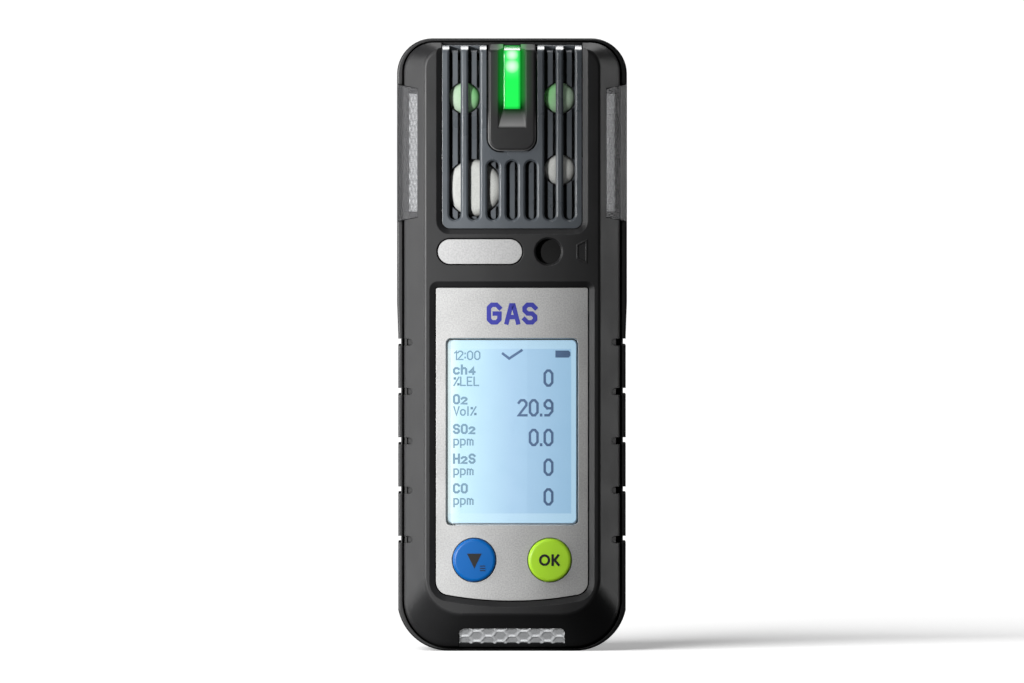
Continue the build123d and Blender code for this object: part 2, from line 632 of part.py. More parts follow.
with BuildPart() as rear_shell:
    with BuildSketch(facing(-HALF_DEPTH)):
        add(rear_outline())
    extrude(amount=HALF_DEPTH + RIM_DEPTH)
    fillet(rear_shell.faces().sort_by(Axis.Y)[-1].edges(), BACK_FILLET)
    fillet(rear_shell.faces().sort_by(Axis.Y)[0].edges(), RIM_FILLET)
    with BuildSketch(facing(REAR_WALL - HALF_DEPTH)):
        add(upright_outline(HALF_WIDTH - REAR_WALL, REAR_WALL, HEIGHT - REAR_WALL,
                            FOOT_CORNER - REAR_WALL, TOP_CORNER - REAR_WALL))
    extrude(amount=HALF_DEPTH + RIM_DEPTH - REAR_WALL, mode=Mode.SUBTRACT)
    with BuildSketch(facing(LEDGE_DEPTH)):
        add(upright_outline(SHOULDER_HALF + SEAM_GAP, SHOULDER_FOOT - SEAM_GAP, SHOULDER_TOP + SEAM_GAP,
                            SHOULDER_FOOT_CORNER + SEAM_GAP, SHOULDER_TOP_CORNER + SEAM_GAP))
    extrude(amount=RIM_DEPTH - LEDGE_DEPTH, mode=Mode.SUBTRACT)

    # Screw bosses
    with BuildSketch(facing(REAR_WALL - HALF_DEPTH)):
        with Locations(*casing_screw_places()):
            Circle(BOSS_RADIUS)
    extrude(amount=HALF_DEPTH + LEDGE_DEPTH - REAR_WALL)
    with BuildSketch(facing(-HALF_DEPTH)):
        with Locations(*casing_screw_places()):
            Circle(CASING_SCREW_RADIUS + EASE)
    extrude(amount=HALF_DEPTH + LEDGE_DEPTH, mode=Mode.SUBTRACT)
    with BuildSketch(facing(-HALF_DEPTH)):
        with Locations(*casing_screw_places()):
            Circle(CASING_HEAD_RADIUS + EASE)
    extrude(amount=HALF_DEPTH + CASING_HEAD_HEIGHT - CASING_HEAD_BACK, mode=Mode.SUBTRACT)

    # Battery bay: a tub that keeps the electronics sealed
    with BuildSketch(facing(REAR_WALL - HALF_DEPTH)):
        add(upright_outline(PACK_HALF + BAY_GAP + BAY_WALL, PACK_FOOT - BAY_GAP - BAY_WALL,
                            PACK_TOP + BAY_GAP + BAY_WALL, PACK_CORNER + BAY_WALL, PACK_CORNER + BAY_WALL))
    extrude(amount=HALF_DEPTH + PACK_FRONT_DEPTH + EASE + BAY_WALL - REAR_WALL)
    with BuildSketch(facing(-HALF_DEPTH)):
        add(upright_outline(PACK_HALF + BAY_GAP, PACK_FOOT - BAY_GAP, PACK_TOP + BAY_GAP,
                            PACK_CORNER, PACK_CORNER))
    extrude(amount=HALF_DEPTH + PACK_FRONT_DEPTH + EASE, mode=Mode.SUBTRACT)
    with BuildSketch(facing(PACK_FRONT_DEPTH)):
        with Locations(*CONTACT_PLACES):
            Circle(PIN_RADIUS)
        with Locations(*PACK_SCREW_PLACES):
            Circle(PACK_SCREW_RADIUS)
    extrude(amount=EASE + BAY_WALL, mode=Mode.SUBTRACT)

    # Alarm windows and grip notches on the sides
    add(side_lens_form(EASE), mode=Mode.SUBTRACT)
    add(side_lens_form(EASE).mirror(Plane.YZ), mode=Mode.SUBTRACT)
    for side in (-1, 1):
        with BuildSketch(Plane.YZ.offset(side * (WAIST_HALF_WIDTH - NOTCH_SIDE_DEPTH))):
            with Locations((NOTCH_REAR_END - HALF_DEPTH, NOTCH_MIDDLE)):
                with GridLocations(OVERSHOOT, NOTCH_PITCH, 1, NOTCH_COUNT):
                    SlotOverall(2 * HALF_DEPTH, NOTCH_HEIGHT)
        extrude(amount=side * OVERSHOOT, mode=Mode.SUBTRACT)

    # Foot: charging contacts and the infrared window
    with BuildSketch(Plane.XY):
        with Locations(*CHARGING_PLACES):
            Circle(CHARGING_RADIUS + EASE)
        with Locations(INFRARED_PLACE):
            SlotOverall(INFRARED_LENGTH + 2 * EASE, INFRARED_WIDTH + 2 * EASE)
    extrude(amount=REAR_WALL, mode=Mode.SUBTRACT)

    # Holes for the clip screws
    with BuildSketch(facing(-HALF_DEPTH)):
        with Locations(*CLIP_SCREW_PLACES):
            Circle(CLIP_SCREW_RADIUS)
    extrude(amount=REAR_WALL, mode=Mode.SUBTRACT)

with BuildPart() as casing_seal:
    with BuildSketch(facing(LEDGE_DEPTH)):
        add(upright_outline(SHOULDER_HALF - EASE, SHOULDER_FOOT + EASE, SHOULDER_TOP - EASE,
                            SHOULDER_FOOT_CORNER - EASE, SHOULDER_TOP_CORNER - EASE))
        offset(amount=-SEAL_WIDTH, mode=Mode.SUBTRACT)
    extrude(amount=SEAL_THICKNESS)

# ---- Front face ---------------------------------------------------------------------------------
with BuildPart() as front_plate:
    with BuildSketch(facing(RECESS_FLOOR)):
        add(plate_outline(0))
        add(window_outline(APERTURE_GAP), mode=Mode.SUBTRACT)
        with Locations(*BUTTON_PLACES):
            Circle(BUTTON_RADIUS + BUTTON_GAP, mode=Mode.SUBTRACT)
    extrude(amount=PLATE_THICKNESS)

with BuildPart() as display_window:
    with BuildSketch(facing(WINDOW_DEPTH - WINDOW_THICKNESS)):
        add(window_outline(0))
    extrude(amount=WINDOW_THICKNESS)

with BuildPart() as lcd_panel:
    with BuildSketch(facing(LCD_DEPTH - LCD_THICKNESS)):
        add(window_outline(-LCD_MARGIN))
    extrude(amount=LCD_THICKNESS)

with BuildPart() as lcd_backlight:
    with BuildSketch(facing(BACKLIGHT_DEPTH - BACKLIGHT_THICKNESS)):
        add(window_outline(BACKLIGHT_MARGIN))
    extrude(amount=BACKLIGHT_THICKNESS)

with BuildPart() as display_frame:
    with BuildSketch(facing(BOARD_DEPTH)):
        add(window_outline(BACKLIGHT_MARGIN + TRAY_WALL))
    extrude(amount=TRAY_DEPTH - BOARD_DEPTH)
    with BuildSketch(facing(BOARD_DEPTH + TRAY_FLOOR)):
        add(window_outline(BACKLIGHT_MARGIN + EASE))
    extrude(amount=TRAY_DEPTH - BOARD_DEPTH - TRAY_FLOOR, mode=Mode.SUBTRACT)


def button(x):
    """A push button: a cap with a rounded edge, a flange that keeps it in, and a stem."""
    with BuildPart() as cap:
        with BuildSketch(facing(BUTTON_FLANGE_DEPTH)):
            with Locations((x, BUTTON_Z)):
                Circle(BUTTON_RADIUS)
        extrude(amount=BUTTON_DEPTH - BUTTON_FLANGE_DEPTH)
        fillet(cap.edges().sort_by(Axis.Y)[0], BUTTON_EDGE)
        with BuildSketch(facing(BUTTON_FLANGE_DEPTH - BUTTON_FLANGE_THICKNESS)):
            with Locations((x, BUTTON_Z)):
                Circle(BUTTON_FLANGE_RADIUS)
        extrude(amount=BUTTON_FLANGE_THICKNESS)
        with BuildSketch(facing(BUTTON_STEM_DEPTH)):
            with Locations((x, BUTTON_Z)):
                Circle(BUTTON_STEM_RADIUS)
        extrude(amount=BUTTON_FLANGE_DEPTH - BUTTON_FLANGE_THICKNESS - BUTTON_STEM_DEPTH)
    return cap


menu_button = button(-BUTTON_X)
ok_button = button(BUTTON_X)

with BuildPart() as dome_switches:
    with BuildSketch(facing(BOARD_DEPTH)):
        with Locations(*BUTTON_PLACES):
            Circle(DOME_RADIUS)
    extrude(amount=DOME_HEIGHT)
    fillet(dome_switches.edges().filter_by_position(Axis.Y, -BOARD_DEPTH - DOME_HEIGHT,
                                                    -BOARD_DEPTH - DOME_HEIGHT), DOME_HEIGHT / 2)

with BuildPart() as name_label:
    with BuildSketch(facing(HALF_DEPTH - LABEL_RECESS)):
        with Locations((LABEL_X, LABEL_Z)):
            SlotOverall(LABEL_LENGTH, LABEL_HEIGHT)
    extrude(amount=LABEL_THICKNESS)

with BuildPart() as horn_membrane:
    with BuildSketch(facing(INNER_FACE_DEPTH - MEMBRANE_THICKNESS)):
        with Locations((HORN_X, HORN_Z)):
            Circle(MEMBRANE_RADIUS)
    extrude(amount=MEMBRANE_THICKNESS)

with BuildPart() as buzzer:
    with BuildSketch(facing(BUZZER_DEPTH - BUZZER_HEIGHT)):
        with Locations((HORN_X, BUZZER_Z)):
            Circle(BUZZER_RADIUS)
    extrude(amount=BUZZER_HEIGHT)
    with BuildSketch(facing(BUZZER_DEPTH - BUZZER_HOLE_DEPTH)):
        with Locations((HORN_X, BUZZER_Z)):
            Circle(BUZZER_HOLE_RADIUS)
    extrude(amount=BUZZER_HOLE_DEPTH, mode=Mode.SUBTRACT)

# ---- Gas inlet ----------------------------------------------------------------------------------
TONGUE_OPENING = open_top_outline(TONGUE_HALF + TONGUE_GAP, TONGUE_FOOT - TONGUE_GAP,
                                  TONGUE_CORNER + TONGUE_GAP)


def slots_outline(width, numbers, foot, top):
    """Upright slots with round ends, at their numbered places either side of the centre line."""
    with BuildSketch() as sketch:
        with Locations(*[(number * SLOT_PITCH, (foot + top) / 2) for number in numbers]):
            SlotOverall(top - foot, width, rotation=90)
    return sketch.sketch


with BuildPart() as sensor_cover:
    add(column(open_top_outline(COVER_HALF, COVER_FOOT, COVER_CORNER - COVER_GAP),
               SHOULDER_DEPTH + EASE, HALF_DEPTH))
    add(front_form(COVER_TOP_INSET, COVER_DEPTH, rounded=True), mode=Mode.INTERSECT)
    add(front_form(COVER_TOP_INSET + COVER_THICKNESS, COVER_DEPTH - COVER_THICKNESS), mode=Mode.SUBTRACT)
    with BuildSketch(facing(SLOT_BACK_DEPTH)):
        add(slots_outline(SLOT_WIDTH, OUTER_SLOTS, SLOT_FOOT, HEIGHT + SLOT_WIDTH))
        add(slots_outline(SLOT_WIDTH, SHORT_SLOTS, SLOT_FOOT, SLOT_SHORT_TOP))
    extrude(amount=HALF_DEPTH - SLOT_BACK_DEPTH, mode=Mode.SUBTRACT)
    for numbers, top in ((OUTER_SLOTS, HEIGHT), (SHORT_SLOTS, SLOT_SHORT_TOP)):
        with BuildSketch(facing(COVER_DEPTH - SLOT_BEVEL)):
            add(slots_outline(SLOT_WIDTH, numbers, SLOT_FOOT, top))
        extrude(amount=SLOT_BEVEL, taper=BEVEL_TAPER, mode=Mode.SUBTRACT)
    add(column(TONGUE_OPENING, SHOULDER_DEPTH, HALF_DEPTH), mode=Mode.SUBTRACT)

with BuildPart() as status_light_bezel:
    add(column(open_top_outline(TONGUE_HALF, TONGUE_FOOT, TONGUE_CORNER), SHOULDER_DEPTH + EASE, HALF_DEPTH))
    add(front_form(TONGUE_TOP_INSET, TONGUE_DEPTH, rounded=True), mode=Mode.INTERSECT)
    fillet(status_light_bezel.faces().sort_by(Axis.Y)[0].edges().sort_by(Axis.Z)[:-1], TONGUE_EDGE)
    add(front_form(COVER_TOP_INSET + COVER_THICKNESS, TONGUE_INNER_DEPTH), mode=Mode.SUBTRACT)
    guide_floor = GUIDE_DEPTH - GUIDE_THICKNESS
    with BuildSketch(facing(guide_floor)):
        add(open_top_outline(GUIDE_HALF + EASE, GUIDE_FOOT, 0))
    with BuildSketch(facing(TONGUE_DEPTH)):
        add(open_top_outline(TROUGH_HALF, TROUGH_FOOT, 0))
    loft(ruled=True, mode=Mode.SUBTRACT)
    with BuildPart(mode=Mode.PRIVATE) as guide_channel:
        add(column(open_top_outline(GUIDE_HALF + EASE, GUIDE_FOOT, 0), SHOULDER_DEPTH, HALF_DEPTH))
        add(front_form(GUIDE_TOP_INSET + GUIDE_THICKNESS, guide_floor), mode=Mode.SUBTRACT)
    add(guide_channel.part, mode=Mode.SUBTRACT)
    with BuildSketch(facing(TONGUE_INNER_DEPTH)):
        with Locations((0, STATUS_LED_Z)):
            Rectangle(2 * GUIDE_HALF, 2 * GUIDE_HALF)
    extrude(amount=guide_floor - TONGUE_INNER_DEPTH, mode=Mode.SUBTRACT)

with BuildPart() as status_light_guide:
    add(column(open_top_outline(GUIDE_HALF, GUIDE_FOOT + EASE, 0), SHOULDER_DEPTH + 2 * EASE, HALF_DEPTH))
    add(front_form(GUIDE_TOP_INSET, GUIDE_DEPTH, rounded=True), mode=Mode.INTERSECT)
    add(front_form(GUIDE_TOP_INSET + GUIDE_THICKNESS - EASE, guide_floor + EASE), mode=Mode.SUBTRACT)

with BuildPart() as filter_frame:
    with BuildSketch(facing(FRAME_DEPTH)):
        with Locations((0, (FRAME_FOOT + FRAME_TOP) / 2)):
            Rectangle(2 * FRAME_HALF, FRAME_TOP - FRAME_FOOT)
    extrude(amount=FRAME_THICKNESS)
    with BuildPart(mode=Mode.PRIVATE) as ribs:
        with BuildSketch(facing(FRAME_DEPTH)):
            for numbers, top in ((OUTER_SLOTS, HEIGHT), (SHORT_SLOTS, SLOT_SHORT_TOP)):
                with Locations(*[(number * SLOT_PITCH, (FRAME_FOOT + top) / 2) for number in numbers]):
                    Rectangle(RIB_WIDTH, top - FRAME_FOOT)
        extrude(amount=RIB_DEPTH - FRAME_DEPTH)
        add(front_form(RIB_TOP_INSET, RIB_DEPTH), mode=Mode.INTERSECT)
    add(ribs.part)
    with BuildSketch(facing(FRAME_DEPTH)):
        with Locations(*SMALL_FILTERS):
            Circle(SMALL_FILTER_RADIUS + EASE)
        with Locations(LARGE_FILTER):
            Circle(LARGE_FILTER_RADIUS + EASE)
    extrude(amount=RIB_DEPTH - FRAME_DEPTH, mode=Mode.SUBTRACT)


def dust_filters(places, radius):
    """Round filter discs with softly rounded front edges."""
    with BuildPart() as discs:
        with BuildSketch(facing(FRAME_DEPTH)):
            with Locations(*places):
                Circle(radius)
        extrude(amount=FILTER_DEPTH - FRAME_DEPTH)
        fillet(discs.edges().filter_by_position(Axis.Y, -FILTER_DEPTH, -FILTER_DEPTH), FILTER_EDGE)
    return discs


small_dust_filters = dust_filters(SMALL_FILTERS, SMALL_FILTER_RADIUS)
large_dust_filter = dust_filters([LARGE_FILTER], LARGE_FILTER_RADIUS)

with BuildPart() as status_led:
    with BuildSketch(facing(FRAME_DEPTH + FRAME_THICKNESS)):
        with Locations((0, STATUS_LED_Z - GUIDE_HALF)):
            Rectangle(*STATUS_BOARD)
    extrude(amount=STATUS_BOARD_THICKNESS)
    with BuildSketch(facing(FRAME_DEPTH + FRAME_THICKNESS)):
        with Locations((0, STATUS_LED_Z)):
            Rectangle(*STATUS_LED)
    extrude(amount=STATUS_LED_HEIGHT)

SENSOR_PLACES = {
    "combustible_sensor": (-SENSOR_COLUMN, SENSOR_ROWS[0]),
    "oxygen_sensor": (-SENSOR_COLUMN, SENSOR_ROWS[1]),
    "sulfur_dioxide_sensor": (SENSOR_COLUMN, SENSOR_ROWS[1]),
    "dual_toxic_sensor": (SENSOR_COLUMN, SENSOR_ROWS[0]),
}


def gas_sensor(place):
    """A gas sensor cartridge: a can with a raised rim round its gas inlet."""
    with BuildPart() as can:
        with BuildSketch(facing(SENSOR_DEPTH - SENSOR_LENGTH)):
            with Locations(place):
                Circle(SENSOR_RADIUS)
        extrude(amount=SENSOR_LENGTH)
        fillet(can.edges().sort_by(Axis.Y)[0], SENSOR_EDGE)
        with BuildSketch(facing(SENSOR_DEPTH)):
            with Locations(place):
                Circle(SENSOR_RADIUS / 2)
        extrude(amount=-SENSOR_INLET_DEPTH, mode=Mode.SUBTRACT)
    return can


sensors = {name: gas_sensor(place) for name, place in SENSOR_PLACES.items()}

with BuildPart() as sensor_carrier:
    with BuildSketch(facing(CARRIER_DEPTH - CARRIER_THICKNESS)) as carrier_plate:
        with Locations((0, (CARRIER_FOOT + CARRIER_TOP) / 2)):
            Rectangle(2 * CARRIER_HALF, CARRIER_TOP - CARRIER_FOOT)
        chamfer(carrier_plate.vertices().group_by(Axis.Y)[-1], CARRIER_CHAMFER)
        with Locations(*SENSOR_PLACES.values()):
            Circle(SENSOR_RADIUS + EASE, mode=Mode.SUBTRACT)
    extrude(amount=CARRIER_THICKNESS)

with BuildPart() as sensor_gasket:
    with BuildSketch(facing(SENSOR_DEPTH)) as gasket_sheet:
        with Locations((0, (CARRIER_FOOT + CARRIER_TOP) / 2)):
            Rectangle(2 * FRAME_HALF, CARRIER_TOP - CARRIER_FOOT)
        with Locations(*SENSOR_PLACES.values()):
            Circle(SENSOR_RADIUS / 2, mode=Mode.SUBTRACT)
    extrude(amount=GASKET_THICKNESS)

with BuildPart() as sensor_board:
    with BuildSketch(facing(SENSOR_BOARD_DEPTH)) as sensor_board_plan:
        with Locations((0, (CARRIER_FOOT + CARRIER_TOP) / 2)):
            Rectangle(2 * CARRIER_HALF, CARRIER_TOP - CARRIER_FOOT)
        chamfer(sensor_board_plan.vertices().group_by(Axis.Y)[-1], CARRIER_CHAMFER)
    extrude(amount=BOARD_THICKNESS)

# ---- Alarm lights -------------------------------------------------------------------------------
with BuildPart() as right_alarm_lens:
    add(side_lens_form(0))

with BuildPart() as left_alarm_lens:
    add(right_alarm_lens.part.mirror(Plane.YZ))

with BuildPart() as right_alarm_reflector:
    add(side_reflector_form(0))

with BuildPart() as left_alarm_reflector:
    add(right_alarm_reflector.part.mirror(Plane.YZ))

FOOT_LENS_BACK_FORM = front_form(FOOT_LENS_THICKNESS, HALF_DEPTH)

with BuildPart() as bottom_alarm_lens:
    add(foot_window(0, OUTER_FORM, FOOT_LENS_BACK_FORM))

with BuildPart() as bottom_alarm_reflector:
    add(foot_window(0, front_form(FOOT_LENS_THICKNESS + EASE, HALF_DEPTH),
                    front_form(FOOT_LENS_THICKNESS + EASE + FOOT_REFLECTOR_THICKNESS, HALF_DEPTH)))

SIDE_LED_BOARD_Z = (SIDE_LED_ZS[0] + SIDE_LED_ZS[1]) / 2

with BuildPart() as right_led_board:
    with BuildSketch(Plane.YZ.offset(SIDE_LED_BOARD_X)):
        with Locations((-FLANGE_DEPTH / 2, SIDE_LED_BOARD_Z)):
            RectangleRounded(*SIDE_LED_BOARD, LED_BOARD_CORNER)
    extrude(amount=LED_BOARD_THICKNESS)

with BuildPart() as left_led_board:
    add(right_led_board.part.mirror(Plane.YZ))

with BuildPart() as bottom_led_board:
    with BuildSketch(Plane.XY.offset(FOOT_LED_BOARD_Z)):
        with Locations((0, FOOT_LED_BOARD_Y)):
            RectangleRounded(*FOOT_LED_BOARD, LED_BOARD_CORNER)
    extrude(amount=LED_BOARD_THICKNESS)

with BuildPart() as alarm_leds:
    for side in (-1, 1):
        with BuildSketch(Plane.YZ.offset(side * (SIDE_LED_BOARD_X + LED_BOARD_THICKNESS))):
            with Locations(*[(SIDE_LED_Y, z) for z in SIDE_LED_ZS]):
                Rectangle(LED_WIDTH, LED_LENGTH)
        extrude(amount=side * LED_HEIGHT)
    with BuildSketch(Plane.XY.offset(FOOT_LED_BOARD_Z)):
        with Locations(*[(x, FOOT_LED_Y) for x in FOOT_LED_XS]):
            Rectangle(LED_LENGTH, LED_WIDTH)
    extrude(amount=-LED_HEIGHT)

# ---- Electronics --------------------------------------------------------------------------------
with BuildPart() as main_board:
    with BuildSketch(facing(BOARD_DEPTH - BOARD_THICKNESS)):
        add(upright_outline(BOARD_HALF, BOARD_FOOT, BOARD_TOP, BOARD_FOOT_CORNER, BOARD_TOP_CORNER))
        with Locations((-CASING_SCREWS[1][0], CASING_SCREWS[1][1]), CASING_SCREWS[1]):
            Circle(BOSS_RADIUS + BAY_GAP, mode=Mode.SUBTRACT)
    extrude(amount=BOARD_THICKNESS)

with BuildPart() as board_components:
    with BuildSketch(facing(BOARD_DEPTH - BOARD_THICKNESS)):
        with Locations(*SQUARE_CHIP_PLACES):
            Rectangle(*SQUARE_CHIP)
        with Locations(*SMALL_CHIP_PLACES):
            Rectangle(*SMALL_CHIP)
        with Locations(SOCKET_PLACE):
            Rectangle(*SOCKET)
    extrude(amount=-COMPONENT_HEIGHT)

with BuildPart() as vibration_motor:
    with BuildSketch(Plane.YZ.offset(MOTOR_X[0])):
        with Locations((0, MOTOR_Z)):
            Circle(MOTOR_RADIUS)
            Circle(MOTOR_SHAFT_RADIUS + MOTOR_BORE_GAP, mode=Mode.SUBTRACT)
    extrude(amount=MOTOR_X[1] - MOTOR_X[0])

with BuildPart() as vibration_weight:
    with BuildSketch(Plane.YZ.offset(MOTOR_X[0] + MOTOR_MARGIN)):
        with Locations((0, MOTOR_Z)):
            Circle(MOTOR_SHAFT_RADIUS)
    extrude(amount=WEIGHT_X[1] - MOTOR_X[0] - MOTOR_MARGIN)
    with BuildSketch(Plane.YZ.offset(WEIGHT_X[0])):
        with Locations((0, MOTOR_Z)):
            Circle(WEIGHT_RADIUS)
        with Locations((0, MOTOR_Z + MOTOR_SHAFT_RADIUS)):
            Rectangle(2 * WEIGHT_RADIUS, WEIGHT_RADIUS, align=(Align.CENTER, Align.MIN), mode=Mode.SUBTRACT)
    extrude(amount=WEIGHT_X[1] - WEIGHT_X[0])

with BuildPart() as motor_cradle:
    with BuildSketch(Plane.YZ.offset(MOTOR_X[0] + MOTOR_MARGIN)):
        with Locations((0, PACK_TOP + BAY_GAP + BAY_WALL)):
            Rectangle(2 * MOTOR_RADIUS, MOTOR_Z - PACK_TOP - BAY_GAP - BAY_WALL,
                      align=(Align.CENTER, Align.MIN))
        with Locations((0, MOTOR_Z)):
            Circle(MOTOR_RADIUS, mode=Mode.SUBTRACT)
    extrude(amount=MOTOR_X[1] - MOTOR_X[0] - 2 * MOTOR_MARGIN)

# ---- Battery ------------------------------------------------------------------------------------
PACK_LENGTH = HALF_DEPTH + PACK_FRONT_DEPTH

with BuildPart() as battery_housing:
    with BuildSketch(facing(-HALF_DEPTH)):
        add(upright_outline(PACK_HALF, PACK_FOOT, PACK_TOP, PACK_CORNER, PACK_CORNER))
    extrude(amount=PACK_LENGTH - PACK_WALL)
    fillet(battery_housing.faces().sort_by(Axis.Y)[-1].edges(), PACK_BACK_EDGE)
    with BuildSketch(facing(PACK_BACK_WALL - HALF_DEPTH)):
        add(upright_outline(PACK_HALF - PACK_WALL, PACK_FOOT + PACK_WALL, PACK_TOP - PACK_WALL,
                            PACK_INNER_CORNER, PACK_INNER_CORNER))
    extrude(amount=PACK_LENGTH - PACK_BACK_WALL - PACK_WALL, mode=Mode.SUBTRACT)
    with BuildSketch(facing(PACK_BACK_WALL - HALF_DEPTH)):
        with Locations(*PACK_SCREW_PLACES):
            Circle(PACK_HEAD_RADIUS)
    extrude(amount=PACK_LENGTH - PACK_BACK_WALL - PACK_WALL)
    with BuildSketch(facing(-HALF_DEPTH)):
        with Locations(*PACK_SCREW_PLACES):
            Circle(PACK_SCREW_RADIUS + EASE)
    extrude(amount=PACK_LENGTH, mode=Mode.SUBTRACT)
    with BuildSketch(facing(-HALF_DEPTH)):
        with Locations(*PACK_SCREW_PLACES):
            Circle(PACK_HEAD_RADIUS + EASE)
    extrude(amount=PACK_BACK_WALL, mode=Mode.SUBTRACT)
    with BuildSketch(facing(-HALF_DEPTH)):
        with Locations((0, (PACK_FOOT + PACK_TOP) / 2)):
            Rectangle(LABEL_PANEL[0] + 2 * LABEL_GAP, LABEL_PANEL[1] + 2 * LABEL_GAP)
    extrude(amount=LABEL_GAP, mode=Mode.SUBTRACT)

with BuildPart() as battery_lid:
    with BuildSketch(facing(PACK_FRONT_DEPTH - PACK_WALL)):
        add(upright_outline(PACK_HALF, PACK_FOOT, PACK_TOP, PACK_CORNER, PACK_CORNER))
        with Locations(*PACK_SCREW_PLACES):
            Circle(PACK_SCREW_RADIUS + EASE, mode=Mode.SUBTRACT)
        with Locations(*CONTACT_PLACES):
            Circle(CONTACT_RADIUS, mode=Mode.SUBTRACT)
    extrude(amount=PACK_WALL)

with BuildPart() as battery_contact_pads:
    with BuildSketch(facing(PACK_FRONT_DEPTH - PACK_WALL)):
        with Locations(*CONTACT_PLACES):
            Circle(CONTACT_RADIUS)
    extrude(amount=PACK_WALL)

with BuildPart() as battery_contact_pins:
    with BuildSketch(facing(PACK_FRONT_DEPTH)):
        with Locations(*CONTACT_PLACES):
            Circle(PIN_RADIUS)
    extrude(amount=BOARD_DEPTH - BOARD_THICKNESS - PACK_FRONT_DEPTH)

with BuildPart() as battery_cells:
    with BuildSketch(Plane.XY.offset(CELL_FOOT)):
        with Locations((-CELL_X, -CELL_DEPTH), (CELL_X, -CELL_DEPTH)):
            Circle(CELL_RADIUS)
    extrude(amount=CELL_LENGTH)

with BuildPart() as battery_screws:
    with BuildSketch(facing(-HALF_DEPTH + LABEL_GAP)):
        with Locations(*PACK_SCREW_PLACES):
            Circle(PACK_HEAD_RADIUS)
            RegularPolygon(PACK_HEAD_RADIUS / 2, 6, mode=Mode.SUBTRACT)
    extrude(amount=PACK_BACK_WALL - LABEL_GAP)
    with BuildSketch(facing(PACK_BACK_WALL - HALF_DEPTH - LABEL_GAP)):
        with Locations(*PACK_SCREW_PLACES):
            Circle(PACK_SCREW_RADIUS)
    extrude(amount=PACK_LENGTH + BAY_WALL - PACK_BACK_WALL + LABEL_GAP)

# ---- Casing screws, contacts and labels ---------------------------------------------------------
with BuildPart() as casing_screws:
    with BuildSketch(facing(-CASING_HEAD_BACK)):
        with Locations(*casing_screw_places()):
            Circle(CASING_HEAD_RADIUS)
            RegularPolygon(CASING_HEAD_RADIUS / 2, 6, mode=Mode.SUBTRACT)
    extrude(amount=CASING_HEAD_HEIGHT)
    with BuildSketch(facing(CASING_HEAD_HEIGHT / 2 - CASING_HEAD_BACK)):
        with Locations(*casing_screw_places()):
            Circle(CASING_SCREW_RADIUS)
    extrude(amount=CASING_HEAD_BACK + CASING_SCREW_TIP - CASING_HEAD_HEIGHT / 2)

with BuildPart() as charging_contacts:
    with BuildSketch(Plane.XY.offset(FOOT_INSET)):
        with Locations(*CHARGING_PLACES):
            Circle(CHARGING_RADIUS)
    extrude(amount=REAR_WALL - FOOT_INSET)

with BuildPart() as infrared_window:
    with BuildSketch(Plane.XY.offset(FOOT_INSET)):
        with Locations(INFRARED_PLACE):
            SlotOverall(INFRARED_LENGTH, INFRARED_WIDTH)
    extrude(amount=REAR_WALL - FOOT_INSET)

with BuildPart() as rating_label:
    with BuildSketch(facing(LABEL_GAP - HALF_DEPTH)):
        with Locations((0, (PACK_FOOT + PACK_TOP) / 2)):
            Rectangle(*LABEL_PANEL)
    extrude(amount=-LABEL_FILM)

# ---- Clothing clip ------------------------------------------------------------------------------
CLIP_PIVOT = (CLIP_PIVOT_Y, CLIP_PIVOT_Z)
CLIP_PLATE_BACK = HALF_DEPTH + CLIP_PLATE_THICKNESS

with BuildPart() as clip_base:
    with BuildSketch(facing(-CLIP_PLATE_BACK)):
        with Locations((0, sum(CLIP_PLATE_Z) / 2)):
            RectangleRounded(2 * CLIP_PLATE_HALF, CLIP_PLATE_Z[1] - CLIP_PLATE_Z[0], CLIP_PLATE_CORNER)
        with Locations(*CLIP_SCREW_PLACES):
            Circle(CLIP_SCREW_RADIUS, mode=Mode.SUBTRACT)
    extrude(amount=CLIP_PLATE_THICKNESS)
    for side in (-1, 1):
        with BuildSketch(Plane.YZ.offset(side * CLIP_LUG_X[0])):
            with Locations(CLIP_PIVOT):
                Circle(CLIP_LUG_RADIUS)
            with Locations((CLIP_PLATE_BACK, CLIP_PIVOT_Z)):
                Rectangle(CLIP_LUG_ROOT, 4 * CLIP_LUG_RADIUS)
            make_hull()
            with Locations(CLIP_PIVOT):
                Circle(CLIP_PIN_RADIUS, mode=Mode.SUBTRACT)
        extrude(amount=side * (CLIP_LUG_X[1] - CLIP_LUG_X[0]))

with BuildPart() as clip_pin:
    with BuildSketch(Plane.YZ.offset(-CLIP_LUG_X[1])):
        with Locations(CLIP_PIVOT):
            Circle(CLIP_PIN_RADIUS)
    extrude(amount=2 * CLIP_LUG_X[1])

